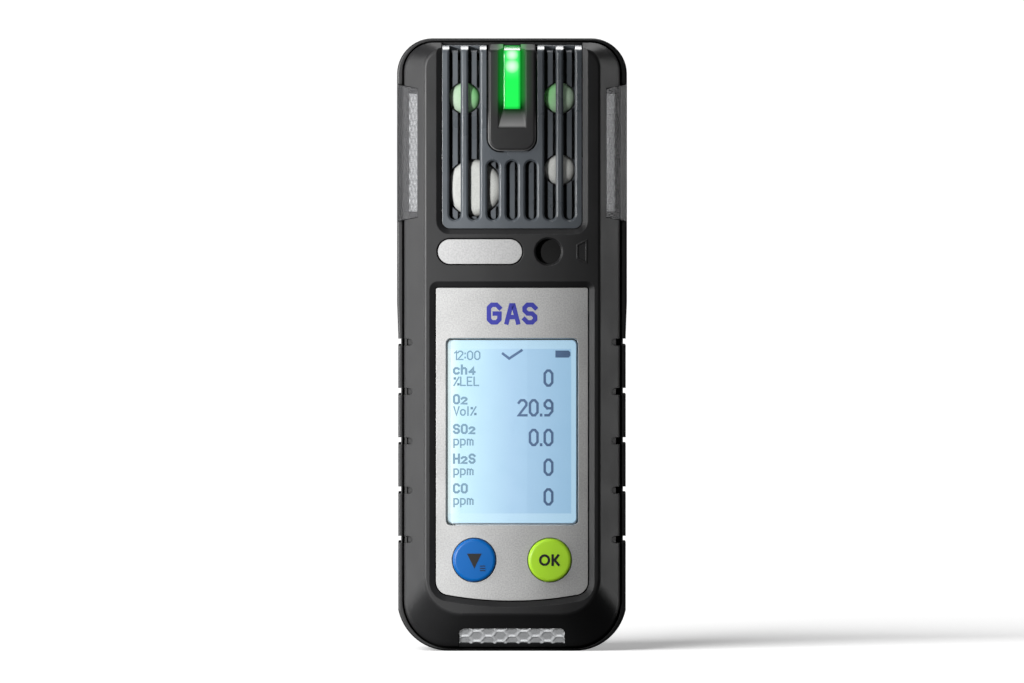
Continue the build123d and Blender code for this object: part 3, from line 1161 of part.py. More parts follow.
with BuildPart() as clip_arm:
    # Curved blade with a jaw at its lower end
    with BuildSketch(Plane.YZ.offset(-CLIP_ARM_HALF)):
        with BuildLine():
            outer = ThreePointArc(*CLIP_BLADE)
            inner = ThreePointArc(*[(y - CLIP_ARM_THICKNESS, z) for y, z in CLIP_BLADE])
            Line(outer @ 0, inner @ 0)
            Line(outer @ 1, inner @ 1)
        make_face()
        with BuildLine():
            Polyline(*CLIP_JAW, close=True)
        make_face()
    extrude(amount=2 * CLIP_ARM_HALF)
    # Knuckle round the pin, joined to the blade by a web
    with BuildSketch(Plane.YZ.offset(-CLIP_KNUCKLE_HALF)):
        with Locations(CLIP_PIVOT):
            Circle(CLIP_KNUCKLE_RADIUS)
            Rectangle(CLIP_WEB_LENGTH, 2 * CLIP_KNUCKLE_RADIUS, align=(Align.MIN, Align.CENTER))
            Circle(CLIP_PIN_RADIUS + CLIP_PIN_GAP, mode=Mode.SUBTRACT)
    extrude(amount=2 * CLIP_KNUCKLE_HALF)
    with BuildSketch(Plane.YZ.offset(-CLIP_SPRING_HALF)):
        with Locations(CLIP_PIVOT):
            Circle(CLIP_KNUCKLE_RADIUS + EASE)
            Rectangle(CLIP_WEB_LENGTH - CLIP_WEB_WALL, 2 * CLIP_KNUCKLE_RADIUS + EASE,
                      align=(Align.MIN, Align.CENTER))
    extrude(amount=2 * CLIP_SPRING_HALF, mode=Mode.SUBTRACT)

with BuildPart() as clip_spring:
    with BuildLine() as coil:
        Helix(CLIP_COIL_PITCH, 2 * CLIP_COIL_HALF, CLIP_COIL_RADIUS,
              center=(-CLIP_COIL_HALF, *CLIP_PIVOT), direction=(1, 0, 0))
    with BuildSketch(Plane(origin=coil.line @ 0, z_dir=coil.line % 0)):
        Circle(CLIP_WIRE_RADIUS)
    sweep(path=coil.line)

with BuildPart() as clip_screws:
    with BuildSketch(facing(-CLIP_PLATE_BACK)):
        with Locations(*CLIP_SCREW_PLACES):
            Circle(CLIP_HEAD_RADIUS)
            RegularPolygon(CLIP_HEAD_RADIUS / 2, 6, mode=Mode.SUBTRACT)
    extrude(amount=-CLIP_HEAD_HEIGHT)
    with BuildSketch(facing(-CLIP_PLATE_BACK)):
        with Locations(*CLIP_SCREW_PLACES):
            Circle(CLIP_SCREW_RADIUS)
    extrude(amount=CLIP_PLATE_THICKNESS + REAR_WALL)

# ---- Write the pieces ---------------------------------------------------------------------------
PIECES = {
    "front_shell": front_shell,
    "rear_shell": rear_shell,
    "casing_seal": casing_seal,
    "casing_screws": casing_screws,
    "front_plate": front_plate,
    "display_window": display_window,
    "lcd_panel": lcd_panel,
    "lcd_backlight": lcd_backlight,
    "display_frame": display_frame,
    "menu_button": menu_button,
    "ok_button": ok_button,
    "dome_switches": dome_switches,
    "name_label": name_label,
    "horn_membrane": horn_membrane,
    "buzzer": buzzer,
    "sensor_cover": sensor_cover,
    "status_light_bezel": status_light_bezel,
    "status_light_guide": status_light_guide,
    "status_led": status_led,
    "filter_frame": filter_frame,
    "small_dust_filters": small_dust_filters,
    "large_dust_filter": large_dust_filter,
    "sensor_carrier": sensor_carrier,
    "sensor_gasket": sensor_gasket,
    "sensor_board": sensor_board,
    "right_alarm_lens": right_alarm_lens,
    "left_alarm_lens": left_alarm_lens,
    "bottom_alarm_lens": bottom_alarm_lens,
    "right_alarm_reflector": right_alarm_reflector,
    "left_alarm_reflector": left_alarm_reflector,
    "bottom_alarm_reflector": bottom_alarm_reflector,
    "right_led_board": right_led_board,
    "left_led_board": left_led_board,
    "bottom_led_board": bottom_led_board,
    "alarm_leds": alarm_leds,
    "main_board": main_board,
    "board_components": board_components,
    "vibration_motor": vibration_motor,
    "vibration_weight": vibration_weight,
    "motor_cradle": motor_cradle,
    "battery_housing": battery_housing,
    "battery_lid": battery_lid,
    "battery_cells": battery_cells,
    "battery_screws": battery_screws,
    "battery_contact_pads": battery_contact_pads,
    "battery_contact_pins": battery_contact_pins,
    "charging_contacts": charging_contacts,
    "infrared_window": infrared_window,
    "rating_label": rating_label,
    "clip_base": clip_base,
    "clip_arm": clip_arm,
    "clip_pin": clip_pin,
    "clip_spring": clip_spring,
    "clip_screws": clip_screws,
    **sensors,
}

os.makedirs("parts", exist_ok=True)
for name, piece in PIECES.items():
    piece.part.label = name
    export_step(piece.part, f"parts/{name}.step")
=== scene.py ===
import math
from itertools import product

import bmesh
import bpy
from mathutils import Matrix, Vector
from mathutils.bvhtree import BVHTree


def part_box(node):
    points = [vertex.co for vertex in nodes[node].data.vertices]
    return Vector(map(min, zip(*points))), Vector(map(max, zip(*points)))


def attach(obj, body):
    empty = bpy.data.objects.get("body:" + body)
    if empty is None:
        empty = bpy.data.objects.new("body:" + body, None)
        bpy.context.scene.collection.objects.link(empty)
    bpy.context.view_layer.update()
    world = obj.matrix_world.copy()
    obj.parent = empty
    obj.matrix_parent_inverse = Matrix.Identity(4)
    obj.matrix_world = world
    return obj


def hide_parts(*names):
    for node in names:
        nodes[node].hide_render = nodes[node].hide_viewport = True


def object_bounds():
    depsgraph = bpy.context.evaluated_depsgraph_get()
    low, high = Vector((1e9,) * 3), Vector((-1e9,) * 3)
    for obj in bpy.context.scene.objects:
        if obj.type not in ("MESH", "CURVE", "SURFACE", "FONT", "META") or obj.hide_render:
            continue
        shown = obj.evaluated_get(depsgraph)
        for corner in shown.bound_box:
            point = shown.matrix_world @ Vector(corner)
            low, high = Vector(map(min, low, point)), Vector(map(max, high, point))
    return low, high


# The looks of the portable gas detector. X runs to the right as seen from the front, the display
# faces -Y and Z is up. Everything is in metres.
MM = 0.001

# ---- Camera and light ---------------------------------------------------------------------------
LENS = 800.0
SENSOR_WIDTH = 36.0
VIEW_WIDTH = 217.0 * MM
VIEW_HEIGHT_ABOVE_FLOOR = 65.85 * MM
CAMERA_ELEVATION = math.radians(1.0)
FLOOR_HALF = 30.0
FLOOR_WHITE = (0.96, 0.96, 0.96)
FLOOR_CLOUD_SIZE = 300 * MM
FLOOR_DARKENING = 0.99
FLOOR_ROUGHNESS = 0.9
FLOOR_GLOW = 0.36
ROOM_GREY = 0.04
BACKDROP_WHITE = 1.1
LIGHT_AIM = (0, 0, 0.065)
SUN_PLACE = (-0.42, -0.6, 0.4)
SUN_STRENGTH = 4.8
SUN_ANGLE = math.radians(42)
SWEEP_PLACE = (-0.31, -0.64, 0.12)
SWEEP_AIM = (-0.034, -0.015, 0.065)
SWEEP_POWER = 42.0
SWEEP_CONE = math.radians(8)
SWEEP_SOURCE = 0.02
SWEEP_STRETCH = (1, 4, 1)
# Name, place, power, width, height, and the pieces that it lights (none named: the whole object)
SOFTBOXES = [
    ("foot_box", (-0.1, -0.6, 0.05), 16.0, 0.3, 0.1, ["bottom_honeycomb"]),
    ("inlet_box", (0.1, -0.6, 0.2), 0.6, 0.3, 0.3, ["small_dust_filters"]),
    ("overhead", (-0.1, 0.1, 0.9), 3.0, 0.5, 0.4, []),
    ("front_top_box", (-0.3, -0.6, 0.75), 2.1, 0.3, 0.3, []),
    ("left_back_box", (-0.62, 0.32, 0.12), 2.0, 0.3, 0.7, []),
    ("left_box", (-0.6, -0.14, 0.1), 4.8, 0.3, 0.5, []),
    ("right_box", (0.6, -0.22, 0.12), 4.4, 0.15, 0.5, ["right_honeycomb", "right_alarm_lens"]),
    ("right_back_box", (0.62, 0.28, 0.12), 1.2, 0.2, 0.6, []),
    ("behind_box", (0.1, 0.8, 0.45), 5.0, 0.5, 0.5, ["sensor_cover", "status_light_guide"]),
    ("high_behind_box", (0.1, 0.6, 0.8), 3.0, 0.5, 0.5, []),
]

# ---- Surfaces in general ------------------------------------------------------------------------
CLOUD_SIZE = 9 * MM
CLOUD_RANGE = (0.3, 0.7)  # between which levels of noise a surface changes
ROUGHNESS_SPREAD = 0.04
WEAR_LIGHTENING = 0.12
BEVEL_SAMPLES = 6
EDGE_COSINES = (0.995, 0.85)  # between the true and the softened normal, beside an edge and on it
SPECKLE_RANGE = (0.35, 0.65)
WEAR_RANGE = (0.4, 0.6)
WEAR_LEAST = 0.3  # the share of the wear that is there at every edge
# Painted shade: grooves and recesses are darkened by ambient occlusion, in colour and in specular level.
GROOVE_SHADE = 0.15  # how light the bottom of a groove is beside the open surface
GROOVE_RANGE = (0.35, 0.85)
GROOVE_SAMPLES = 8

# ---- Clear plastic ------------------------------------------------------------------------------
CLEAR_CLOUD_SIZE = 4 * MM
CLEAR_DARKENING = 0.9
CLEAR_GLOSS_SIZE = 6 * MM
CLEAR_ROUGHNESS_SPREAD = 0.03
CLEAR_WAVE_SIZE = 2 * MM
CLEAR_WAVE_DEPTH = 0.002 * MM
CLEAR_EDGE = 0.15 * MM
CLEAR_EDGE_POWER = 4.0  # how fast the plastic turns opaque at a grazing angle

# ---- Light guide, tongue and filter discs -------------------------------------------------------
GUIDE_SPOTS = [(126.6 * MM, 1.7 * MM), (124.2 * MM, 2.0 * MM)]  # height and radius
GUIDE_SPOT_SPREAD = 1.6
GUIDE_STOPS = [(0.0, (0.015, 1.0, 0.1)), (0.5, (0.06, 1.0, 0.18)), (1.0, (0.8, 1.0, 0.85))]
GUIDE_DARK = (0.0, 0.05, 0.005)
GUIDE_SPECKLE = (0.0, 0.07, 0.007)
GUIDE_EDGE_LEVEL = 0.45
GUIDE_SIDE_FADE = 0.7 * MM
GUIDE_FOOT_FADE = 0.8 * MM
GUIDE_TOP_LEVEL = 0.22
GUIDE_TOP_FADE = (1.3 * MM, 0.9 * MM)
GUIDE_GLOW = 0.98
GUIDE_CLOUD_SIZE = 1 * MM
GUIDE_ROUGHNESS = 0.18
GUIDE_EDGE = 0.3 * MM
# The lower ramp of the tongue's trough gets a painted highlight: lighter grey below the guide.
TROUGH_WALL = (0.05 * MM, 0.3 * MM)  # how far behind the tongue's front its trough starts
TROUGH_RAMP = (0.2 * MM, 3.6 * MM)  # the heights below the guide between which the trough turns grey
TROUGH_PAINTED_HIGHLIGHT = (0.16, 0.16, 0.16)
# Painted light: a green glow on the tongue beside the guide, in place of the light spilling from it.
SPILL_REACH = 2.9 * MM
SPILL_BELOW = 2.5 * MM
SPILL_ABOVE = 3 * MM
SPILL_STOPS = [(0.0, (0, 0, 0)), (0.5, (0.0, 0.03, 0.002)), (1.0, (0.005, 0.22, 0.02))]
DISC_WHITES = [(0.33, 0.335, 0.32), (0.44, 0.445, 0.425)]
# Painted light: the status light's green, painted onto the discs nearest it and stronger higher up.
DISC_PAINTED_GREEN_LIGHT = (0.09, 0.4, 0.09)
DISC_PORE = 0.22 * MM
DISC_PORE_DEPTH = 0.02 * MM
DISC_ROUGHNESS = 0.85
DISC_EDGE = 0.8 * MM
DISC_GREEN_LIGHT_X = (6.5 * MM, 12.5 * MM)
DISC_GREEN_LIGHT_SHARES = (0.95, 0.35)
DISC_GREEN_LIGHT_FOOT = (108 * MM, 112 * MM)
DISC_GREEN_LIGHT_RISE = (113.5 * MM, 120 * MM)
DISC_GREEN_LIGHT_RISE_SHARES = (0.6, 1.0)
# Painted shade: the grey of the sunk honeycomb cells, darker than the ridges.
REFLECTOR_CELL_PAINTED_SHADE = (0.19, 0.19, 0.19)

# ---- Relief of the reflectors -------------------------------------------------------------------
FOOT_HEX_EDGE = 1.67 * MM
SIDE_HEX_EDGE = 0.85 * MM
FOOT_RIDGE_WIDTH = 0.55 * MM
SIDE_RIDGE_WIDTH = 0.3 * MM
FOOT_RELIEF = 0.3 * MM
SIDE_RELIEF = 0.22 * MM
FOOT_OUTWARD = (0, -1, -0.45)
RIGHT_OUTWARD = (0.865, -0.502, 0)
LEFT_OUTWARD = (-0.865, -0.502, 0)
OUTER_FACE_COSINE = 0.5  # a reflector's faces turned further from its outward line get no relief
SKIN_THICKNESS = 0.15 * MM
SKIN_STEP = 0.09 * MM
RIDGE_ATTRIBUTE = "ridge"
RAY_START = 5.0 * MM

# ---- Display ------------------------------------------------------------------------------------
LCD_STOPS = [(0.0, (238, 255, 255)), (0.1, (190, 230, 246)), (0.5, (165, 203, 233)), (1.0, (150, 193, 224))]
# A painted reflection: the display is shaded bluer to the right of this line.
LCD_REFLECTION_X = 3.1 * MM
LCD_REFLECTION_SHARE = 0.12
LCD_REFLECTION_BLUE = (120, 160, 200)
LCD_BORDER_TOP = 1.9 * MM
LCD_BORDER_FOOT = 2.1 * MM
LCD_BORDER_RIGHT = 1.1 * MM
LCD_BORDER_SHARE = 0.4
LCD_BORDER_BLUE = (205, 238, 252)
LCD_FADE = 0.2 * MM
LCD_CELL = 0.25 * MM
LCD_CELL_SHADE = 0.97
LCD_CLOUD_SIZE = 3 * MM
LCD_ROUGHNESS = (0.35, 0.45)
LCD_UNLIT = (0.02, 0.03, 0.04)
LCD_UNLIT_SHARE = 0.85
LCD_GLOW = 0.8
ROW_PITCH = 6.3 * MM
READING_FOOT = 56.2 * MM
READING_RIGHT = 8.8 * MM
READING_UNIT = 0.53 * MM
READING_NARROWING = 0.84
READING_SPACING = 0.35
NAME_FOOT = 59.0 * MM
UNIT_FOOT = 56.5 * MM
TEXT_LEFT = -12.3 * MM
TEXT_UNIT = 0.29 * MM
NAME_STROKE = 0.44 * MM
THIN_STROKE = 0.29 * MM
STROKE_STEP = 0.006 * MM  # keeps the tops of crossing strokes apart
STROKE_LEVELS = 3
MITRE_LIMIT = 0.5
WELD_DISTANCE = 0.001 * MM
CLOCK_FOOT = 62.0 * MM
NAME_SPACING = 0.8
CLOCK_SPACING = 0.4
TICK_MM = [(-1.9, 63.2), (-0.6, 62.2), (2.0, 63.9)]
BATTERY_MM = [(9.2, 62.4), (12.0, 62.4), (12.4, 62.8), (12.4, 63.5), (12.0, 63.9), (9.2, 63.9)]
INK_THICKNESS = 0.04 * MM
INK_GAP = 0.02 * MM
READINGS = [("ch4", "%LEL", "0"), ("O2", "Vol%", "20.9"), ("SO2", "ppm", "0.0"), ("H2S", "ppm", "0"),
            ("CO", "ppm", "0")]
LOW_DIGITS = "24"  # digits that stand lower and smaller in a gas's name
LOW_DIGIT_WIDTH = 0.95
LOW_DIGIT_HEIGHT = 0.72
LOW_DIGIT_DROP = 0.2

# Strokes of each character on a grid six units high. A line that ends where it starts is closed.
GLYPH_HEIGHT = 6
GLYPHS = {
    "0": [[(0, 1.2), (0, 4.8), (1.2, 6), (2.4, 6), (3.6, 4.8), (3.6, 1.2), (2.4, 0), (1.2, 0), (0, 1.2)]],
    "1": [[(0.6, 4.8), (1.8, 6), (1.8, 0)]],
    "2": [[(0, 5), (1, 6), (2.6, 6), (3.6, 5), (3.6, 4), (0, 0), (3.6, 0)]],
    "4": [[(2.8, 0), (2.8, 6), (0, 1.9)], [(0, 1.9), (3.8, 1.9)]],
    "9": [[(0.4, 0), (2, 0), (3.6, 1.6), (3.6, 4.8), (2.4, 6), (1.2, 6), (0, 4.8), (0, 3.8), (1.2, 2.8)],
          [(1.2, 2.8), (3.6, 2.8)]],
    ":": [[(0, 1.2), (0, 1.6)], [(0, 4.2), (0, 4.6)]],
    ".": [[(0, 0), (0, 0.2)]],
    "%": [[(0, 0), (3.6, 6)], [(0.2, 4.7), (1.0, 4.7), (1.0, 5.5), (0.2, 5.5), (0.2, 4.7)],
          [(2.8, 0.4), (3.6, 0.4), (3.6, 1.2), (2.8, 1.2), (2.8, 0.4)]],
    "C": [[(3.6, 5), (2.6, 6), (1, 6), (0, 5), (0, 1), (1, 0), (2.6, 0), (3.6, 1)]],
    "E": [[(3.2, 6), (0, 6), (0, 0), (3.2, 0)], [(0, 3), (2.6, 3)]],
    "H": [[(0, 0), (0, 6)], [(3.6, 0), (3.6, 6)], [(0, 3), (3.6, 3)]],
    "L": [[(0, 6), (0, 0), (3.2, 0)]],
    "O": [[(0, 1), (0, 5), (1, 6), (2.6, 6), (3.6, 5), (3.6, 1), (2.6, 0), (1, 0), (0, 1)]],
    "S": [[(3.6, 5), (2.6, 6), (1, 6), (0, 5), (0, 4), (1, 3), (2.6, 3), (3.6, 2), (3.6, 1), (2.6, 0), (1, 0),
           (0, 1)]],
    "V": [[(0, 6), (1.8, 0), (3.6, 6)]],
    "c": [[(3.4, 3.4), (2.6, 4), (1, 4), (0, 3), (0, 1), (1, 0), (2.6, 0), (3.4, 0.6)]],
    "h": [[(0, 0), (0, 6)], [(0, 3.2), (1, 4), (2.4, 4), (3.2, 3.2), (3.2, 0)]],
    "l": [[(0.4, 6), (0.4, 0)]],
    "m": [[(0, 0), (0, 4)], [(0, 4), (1.2, 4), (2, 3.2), (2, 0)], [(2, 3.2), (2.8, 4), (4, 3.2), (4, 0)]],
    "o": [[(0, 1), (0, 3), (1, 4), (2.2, 4), (3.2, 3), (3.2, 1), (2.2, 0), (1, 0), (0, 1)]],
    "p": [[(0, -1.8), (0, 4)], [(0, 4), (2.2, 4), (3.2, 3), (3.2, 1), (2.2, 0), (0, 0)]],
    "G": [[(3.6, 5), (2.6, 6), (1, 6), (0, 5), (0, 1), (1, 0), (2.6, 0), (3.6, 1), (3.6, 3), (2, 3)]],
    "A": [[(0, 0), (1.5, 5.8), (2.3, 5.8), (3.8, 0)], [(1, 1.8), (2.8, 1.8)]],
    "K": [[(0, 0), (0, 6)], [(3.6, 6), (1.3, 3), (3.8, 0)]],
}
CLOSE_AFTER = {"1": 2.4, ":": 1.4, ".": 1.3, "l": 2.6, "m": 5.4}  # how far the next character starts
USUAL_ADVANCE = 4.9

# ---- Front face lettering and button marks ------------------------------------------------------
HEADING = "GAS"
HEADING_FOOT = 69.9 * MM
HEADING_UNIT = 0.62 * MM
HEADING_STROKE = 0.95 * MM
HEADING_SPACING = 1.2
PRINT_THICKNESS = 0.03 * MM
WINDOW_PRINT_WIDTH = 0.22 * MM
WINDOW_PRINT_CORNER = 1.0 * MM
WINDOW_CORNER_STEPS = 6
BUTTON_MARK_THICKNESS = 0.05 * MM
ARROW_MM = [(-1.55, 1.38), (1.55, 1.38), (0, -1.8)]  # from the button's middle
LIST_SIGN_X_MM = (1.3, 2.23)
LIST_SIGN_HEIGHTS_MM = (-1.26, -1.74, -2.22)
LIST_SIGN_STROKE = 0.2 * MM
LETTER_O_X = -1.1 * MM
LETTER_O_HALF_WIDTH = 0.93 * MM
LETTER_O_HALF_HEIGHT = 0.98 * MM
LETTER_O_STEPS = 24
LETTER_K_LEFT = 0.6 * MM
LETTER_UNIT = 0.325 * MM
LETTER_STROKE = 0.52 * MM

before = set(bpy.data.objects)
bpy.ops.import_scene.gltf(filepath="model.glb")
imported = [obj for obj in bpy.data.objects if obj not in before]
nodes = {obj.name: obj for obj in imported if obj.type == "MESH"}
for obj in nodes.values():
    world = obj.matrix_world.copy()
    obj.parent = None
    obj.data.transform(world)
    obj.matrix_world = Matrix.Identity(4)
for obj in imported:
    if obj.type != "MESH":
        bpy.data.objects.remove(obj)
cad_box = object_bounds()


# ---- Colours and node helpers -------------------------------------------------------------------
def srgb(*levels):
    """A linear colour from levels out of 255 as a screen shows them."""
    shares = [level / 255 for level in levels]
    return tuple(s / 12.92 if s <= 0.04045 else ((s + 0.055) / 1.055) ** 2.4 for s in shares)


def scaled(colour, factor):
    """A colour made lighter or darker."""
    return tuple(channel * factor for channel in colour)


def grey(level):
    """A linear grey."""
    return (level, level, level)


def node(tree, kind, **inputs):
    """A new shader node with plain values on its named inputs."""
    made = tree.nodes.new(kind)
    for name, value in inputs.items():
        made.inputs[name.replace("_", " ")].default_value = value
    return made


def join(tree, output, made, name):
    """Feeds an output into a node's named input."""
    tree.links.new(output, made.inputs[name])


def place(tree):
    """The point being shaded, in metres, as a vector."""
    return tree.nodes.new("ShaderNodeTexCoord").outputs["Object"]


def axes(tree):
    """The point's X, Y and Z."""
    split = tree.nodes.new("ShaderNodeSeparateXYZ")
    tree.links.new(place(tree), split.inputs[0])
    return split.outputs


def noise(tree, size, detail=2.0):
    """Cloudy noise with features of a given size."""
    texture = node(tree, "ShaderNodeTexNoise", Scale=1 / size, Detail=detail)
    join(tree, place(tree), texture, "Vector")
    return texture.outputs[0]


def remap(tree, value, start, end, low, high, smooth=False):
    """Maps a value from one range to another and holds it there."""
    made = tree.nodes.new("ShaderNodeMapRange")
    if smooth:
        made.interpolation_type = "SMOOTHSTEP"
    for index, number in enumerate((start, end, low, high), 1):
        made.inputs[index].default_value = number
    tree.links.new(value, made.inputs[0])
    return made.outputs[0]


def maths(tree, operation, first, second):
    """A sum, product or other operation on two values, each an output or a plain number."""
    made = tree.nodes.new("ShaderNodeMath")
    made.operation = operation
    for socket, value in zip(made.inputs, (first, second)):
        if isinstance(value, (int, float)):
            socket.default_value = value
        else:
            tree.links.new(value, socket)
    return made.outputs[0]


def ramp(tree, share, stops):
    """A colour from a share, through stops given as (share, colour)."""
    made = tree.nodes.new("ShaderNodeValToRGB")
    elements = made.color_ramp.elements
    for element, (position, colour) in zip(elements, (stops[0], stops[-1])):
        element.position = position
        element.color = (*colour, 1)
    for position, colour in stops[1:-1]:
        elements.new(position).color = (*colour, 1)
    tree.links.new(share, made.inputs[0])
    return made.outputs[0]


def between(tree, cloud, dark, light):
    """A colour that drifts between two with cloudy noise."""
    return ramp(tree, cloud, list(zip(CLOUD_RANGE, (dark, light))))


def blend(tree, share, first, second, mode="MIX"):
    """Two colour outputs mixed by a share."""
    made = tree.nodes.new("ShaderNodeMix")
    made.data_type = "RGBA"
    made.blend_type = mode
    for index, value in ((0, share), (6, first), (7, second)):
        if isinstance(value, tuple):
            made.inputs[index].default_value = (*value, 1)
        elif isinstance(value, (int, float)):
            made.inputs[index].default_value = value
        else:
            tree.links.new(value, made.inputs[index])
    return made.outputs[2]


def new_material(name):
    """A material with nodes, its tree and its Principled shader."""
    made = bpy.data.materials.new(name)
    made.use_nodes = True
    return made, made.node_tree, made.node_tree.nodes["Principled BSDF"]


def soft_edges(tree, radius):
    """Normals that round off the edges, and how near the point is to an edge."""
    bevel = node(tree, "ShaderNodeBevel", Radius=radius)
    bevel.samples = BEVEL_SAMPLES
    flat = tree.nodes.new("ShaderNodeNewGeometry")
    dot = tree.nodes.new("ShaderNodeVectorMath")
    dot.operation = "DOT_PRODUCT"
    tree.links.new(bevel.outputs[0], dot.inputs[0])
    tree.links.new(flat.outputs["Normal"], dot.inputs[1])
    return bevel.outputs[0], remap(tree, dot.outputs["Value"], *EDGE_COSINES, 0, 1)


def openness(tree, reach):
    """How open a point's surroundings are, from 0 deep in a groove to 1 on an open face."""
    around = node(tree, "ShaderNodeAmbientOcclusion", Distance=reach)
    around.samples = GROOVE_SAMPLES
    return remap(tree, around.outputs["AO"], *GROOVE_RANGE, 0, 1)


def add_bump(tree, shader, height, depth, normal):
    """Bump from a height between 0 and 1, on top of a normal."""
    bump = node(tree, "ShaderNodeBump", Distance=depth)
    join(tree, height, bump, "Height")
    if normal is not None:
        join(tree, normal, bump, "Normal")
    join(tree, bump.outputs[0], shader, "Normal")


def finish(name, colour, roughness, metallic=0.0, specular=0.5, grain=0.3 * MM, depth=0.006 * MM, mottle=0.08,
           speckle=0.0, wear=0.0, edge=0.2 * MM, coat=0.0, groove_reach=0.0):
    """A moulded, painted or metal surface: cloudy colour, grain, soft worn edges and painted shade in
    grooves.
    """
    made, tree, shader = new_material(name)
    shader.inputs["Metallic"].default_value = metallic
    shader.inputs["Specular IOR Level"].default_value = specular
    shader.inputs["Coat Weight"].default_value = coat
    cloud = noise(tree, CLOUD_SIZE, detail=4.0)
    fine = noise(tree, grain)
    shade = between(tree, cloud, scaled(colour, 1 - mottle), scaled(colour, 1 + mottle))
    if speckle:
        speck_levels = (grey(1 - speckle), grey(1 + speckle))
        specks = ramp(tree, fine, list(zip(SPECKLE_RANGE, speck_levels)))
        shade = blend(tree, 1.0, shade, specks, mode="MULTIPLY")
    normal, near_edge = soft_edges(tree, edge) if edge else (None, None)
    if wear:
        worn = remap(tree, fine, *WEAR_RANGE, WEAR_LEAST * wear, wear)
        patchy = maths(tree, "MULTIPLY", near_edge, worn)
        shade = blend(tree, patchy, shade, grey(WEAR_LIGHTENING + max(colour)))
    # Painted shade: ambient occlusion darkens the colour and the specular level in grooves and recesses.
    if groove_reach:
        open_share = openness(tree, groove_reach)
        shade = blend(tree, open_share, scaled(colour, GROOVE_SHADE), shade)
        join(tree, maths(tree, "MULTIPLY", open_share, specular), shader, "Specular IOR Level")
    join(tree, shade, shader, "Base Color")
    dullness = remap(tree, cloud, *CLOUD_RANGE, roughness - ROUGHNESS_SPREAD, roughness + ROUGHNESS_SPREAD)
    join(tree, dullness, shader, "Roughness")
    add_bump(tree, shader, fine, depth, normal)
    return made


def clear_finish(name, body_colour, haze, tint, roughness):
    """Clear plastic: light goes straight through, with a share of haze and a glossy surface."""
    made, tree, shader = new_material(name)
    shade = between(tree, noise(tree, CLEAR_CLOUD_SIZE), scaled(body_colour, CLEAR_DARKENING), body_colour)
    join(tree, shade, shader, "Base Color")
    dullness = remap(tree, noise(tree, CLEAR_GLOSS_SIZE), *CLOUD_RANGE, roughness,
                     roughness + CLEAR_ROUGHNESS_SPREAD)
    join(tree, dullness, shader, "Roughness")
    normal, _ = soft_edges(tree, CLEAR_EDGE)
    add_bump(tree, shader, noise(tree, CLEAR_WAVE_SIZE), CLEAR_WAVE_DEPTH, normal)
    through = tree.nodes.new("ShaderNodeBsdfTransparent")
    through.inputs["Color"].default_value = (*tint, 1)
    facing = tree.nodes.new("ShaderNodeLayerWeight").outputs["Facing"]
    mixer = tree.nodes.new("ShaderNodeMixShader")
    steep = maths(tree, "POWER", facing, CLEAR_EDGE_POWER)
    tree.links.new(remap(tree, steep, 0, 1, haze, 1), mixer.inputs[0])
    tree.links.new(through.outputs[0], mixer.inputs[1])
    tree.links.new(shader.outputs[0], mixer.inputs[2])
    tree.links.new(mixer.outputs[0], tree.nodes["Material Output"].inputs["Surface"])
    return made


def glow(tree, shader, colour, strength):
    """Makes a surface give off light of a colour output, at an even strength."""
    join(tree, colour, shader, "Emission Color")
    shader.inputs["Emission Strength"].default_value = strength


def plate_finish():
    """Silver lacquer with fine sparkle."""
    return finish("plate_silver", (0.32, 0.32, 0.317), 0.4, metallic=0.35, grain=0.3 * MM, depth=0.008 * MM,
                  speckle=0.12, mottle=0.03, edge=0.12 * MM)


def lcd_finish():
    """A lit display: pale cyan at the left, bluer to the right, with a lighter unused border and a painted
    reflection as a bluer band.
    """
    low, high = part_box("lcd_panel")
    made, tree, shader = new_material("lcd")
    x, _, z = axes(tree)
    stops = [(share, srgb(*levels)) for share, levels in LCD_STOPS]
    shade = ramp(tree, remap(tree, x, low.x, high.x, 0, 1), stops)
    # Painted reflection: a bluer band over the right part of the display.
    reflection_band = remap(tree, x, LCD_REFLECTION_X, LCD_REFLECTION_X + LCD_FADE, 0, LCD_REFLECTION_SHARE)
    shade = blend(tree, reflection_band, shade, srgb(*LCD_REFLECTION_BLUE))
    top = high.z - LCD_BORDER_TOP
    foot = low.z + LCD_BORDER_FOOT
    right = high.x - LCD_BORDER_RIGHT
    border = maths(tree, "MAXIMUM", remap(tree, z, top, top + LCD_FADE, 0, 1),
                   remap(tree, z, foot, foot - LCD_FADE, 0, 1))
    border = maths(tree, "MAXIMUM", border, remap(tree, x, right, right + LCD_FADE, 0, 1))
    shade = blend(tree, maths(tree, "MULTIPLY", border, LCD_BORDER_SHARE), shade, srgb(*LCD_BORDER_BLUE))
    cells = between(tree, noise(tree, LCD_CELL), grey(LCD_CELL_SHADE), grey(1.0))
    shade = blend(tree, 1.0, shade, cells, mode="MULTIPLY")
    join(tree, blend(tree, LCD_UNLIT_SHARE, shade, LCD_UNLIT), shader, "Base Color")
    glow(tree, shader, shade, LCD_GLOW)
    dullness = remap(tree, noise(tree, LCD_CLOUD_SIZE), *CLOUD_RANGE, *LCD_ROUGHNESS)
    join(tree, dullness, shader, "Roughness")
    return made


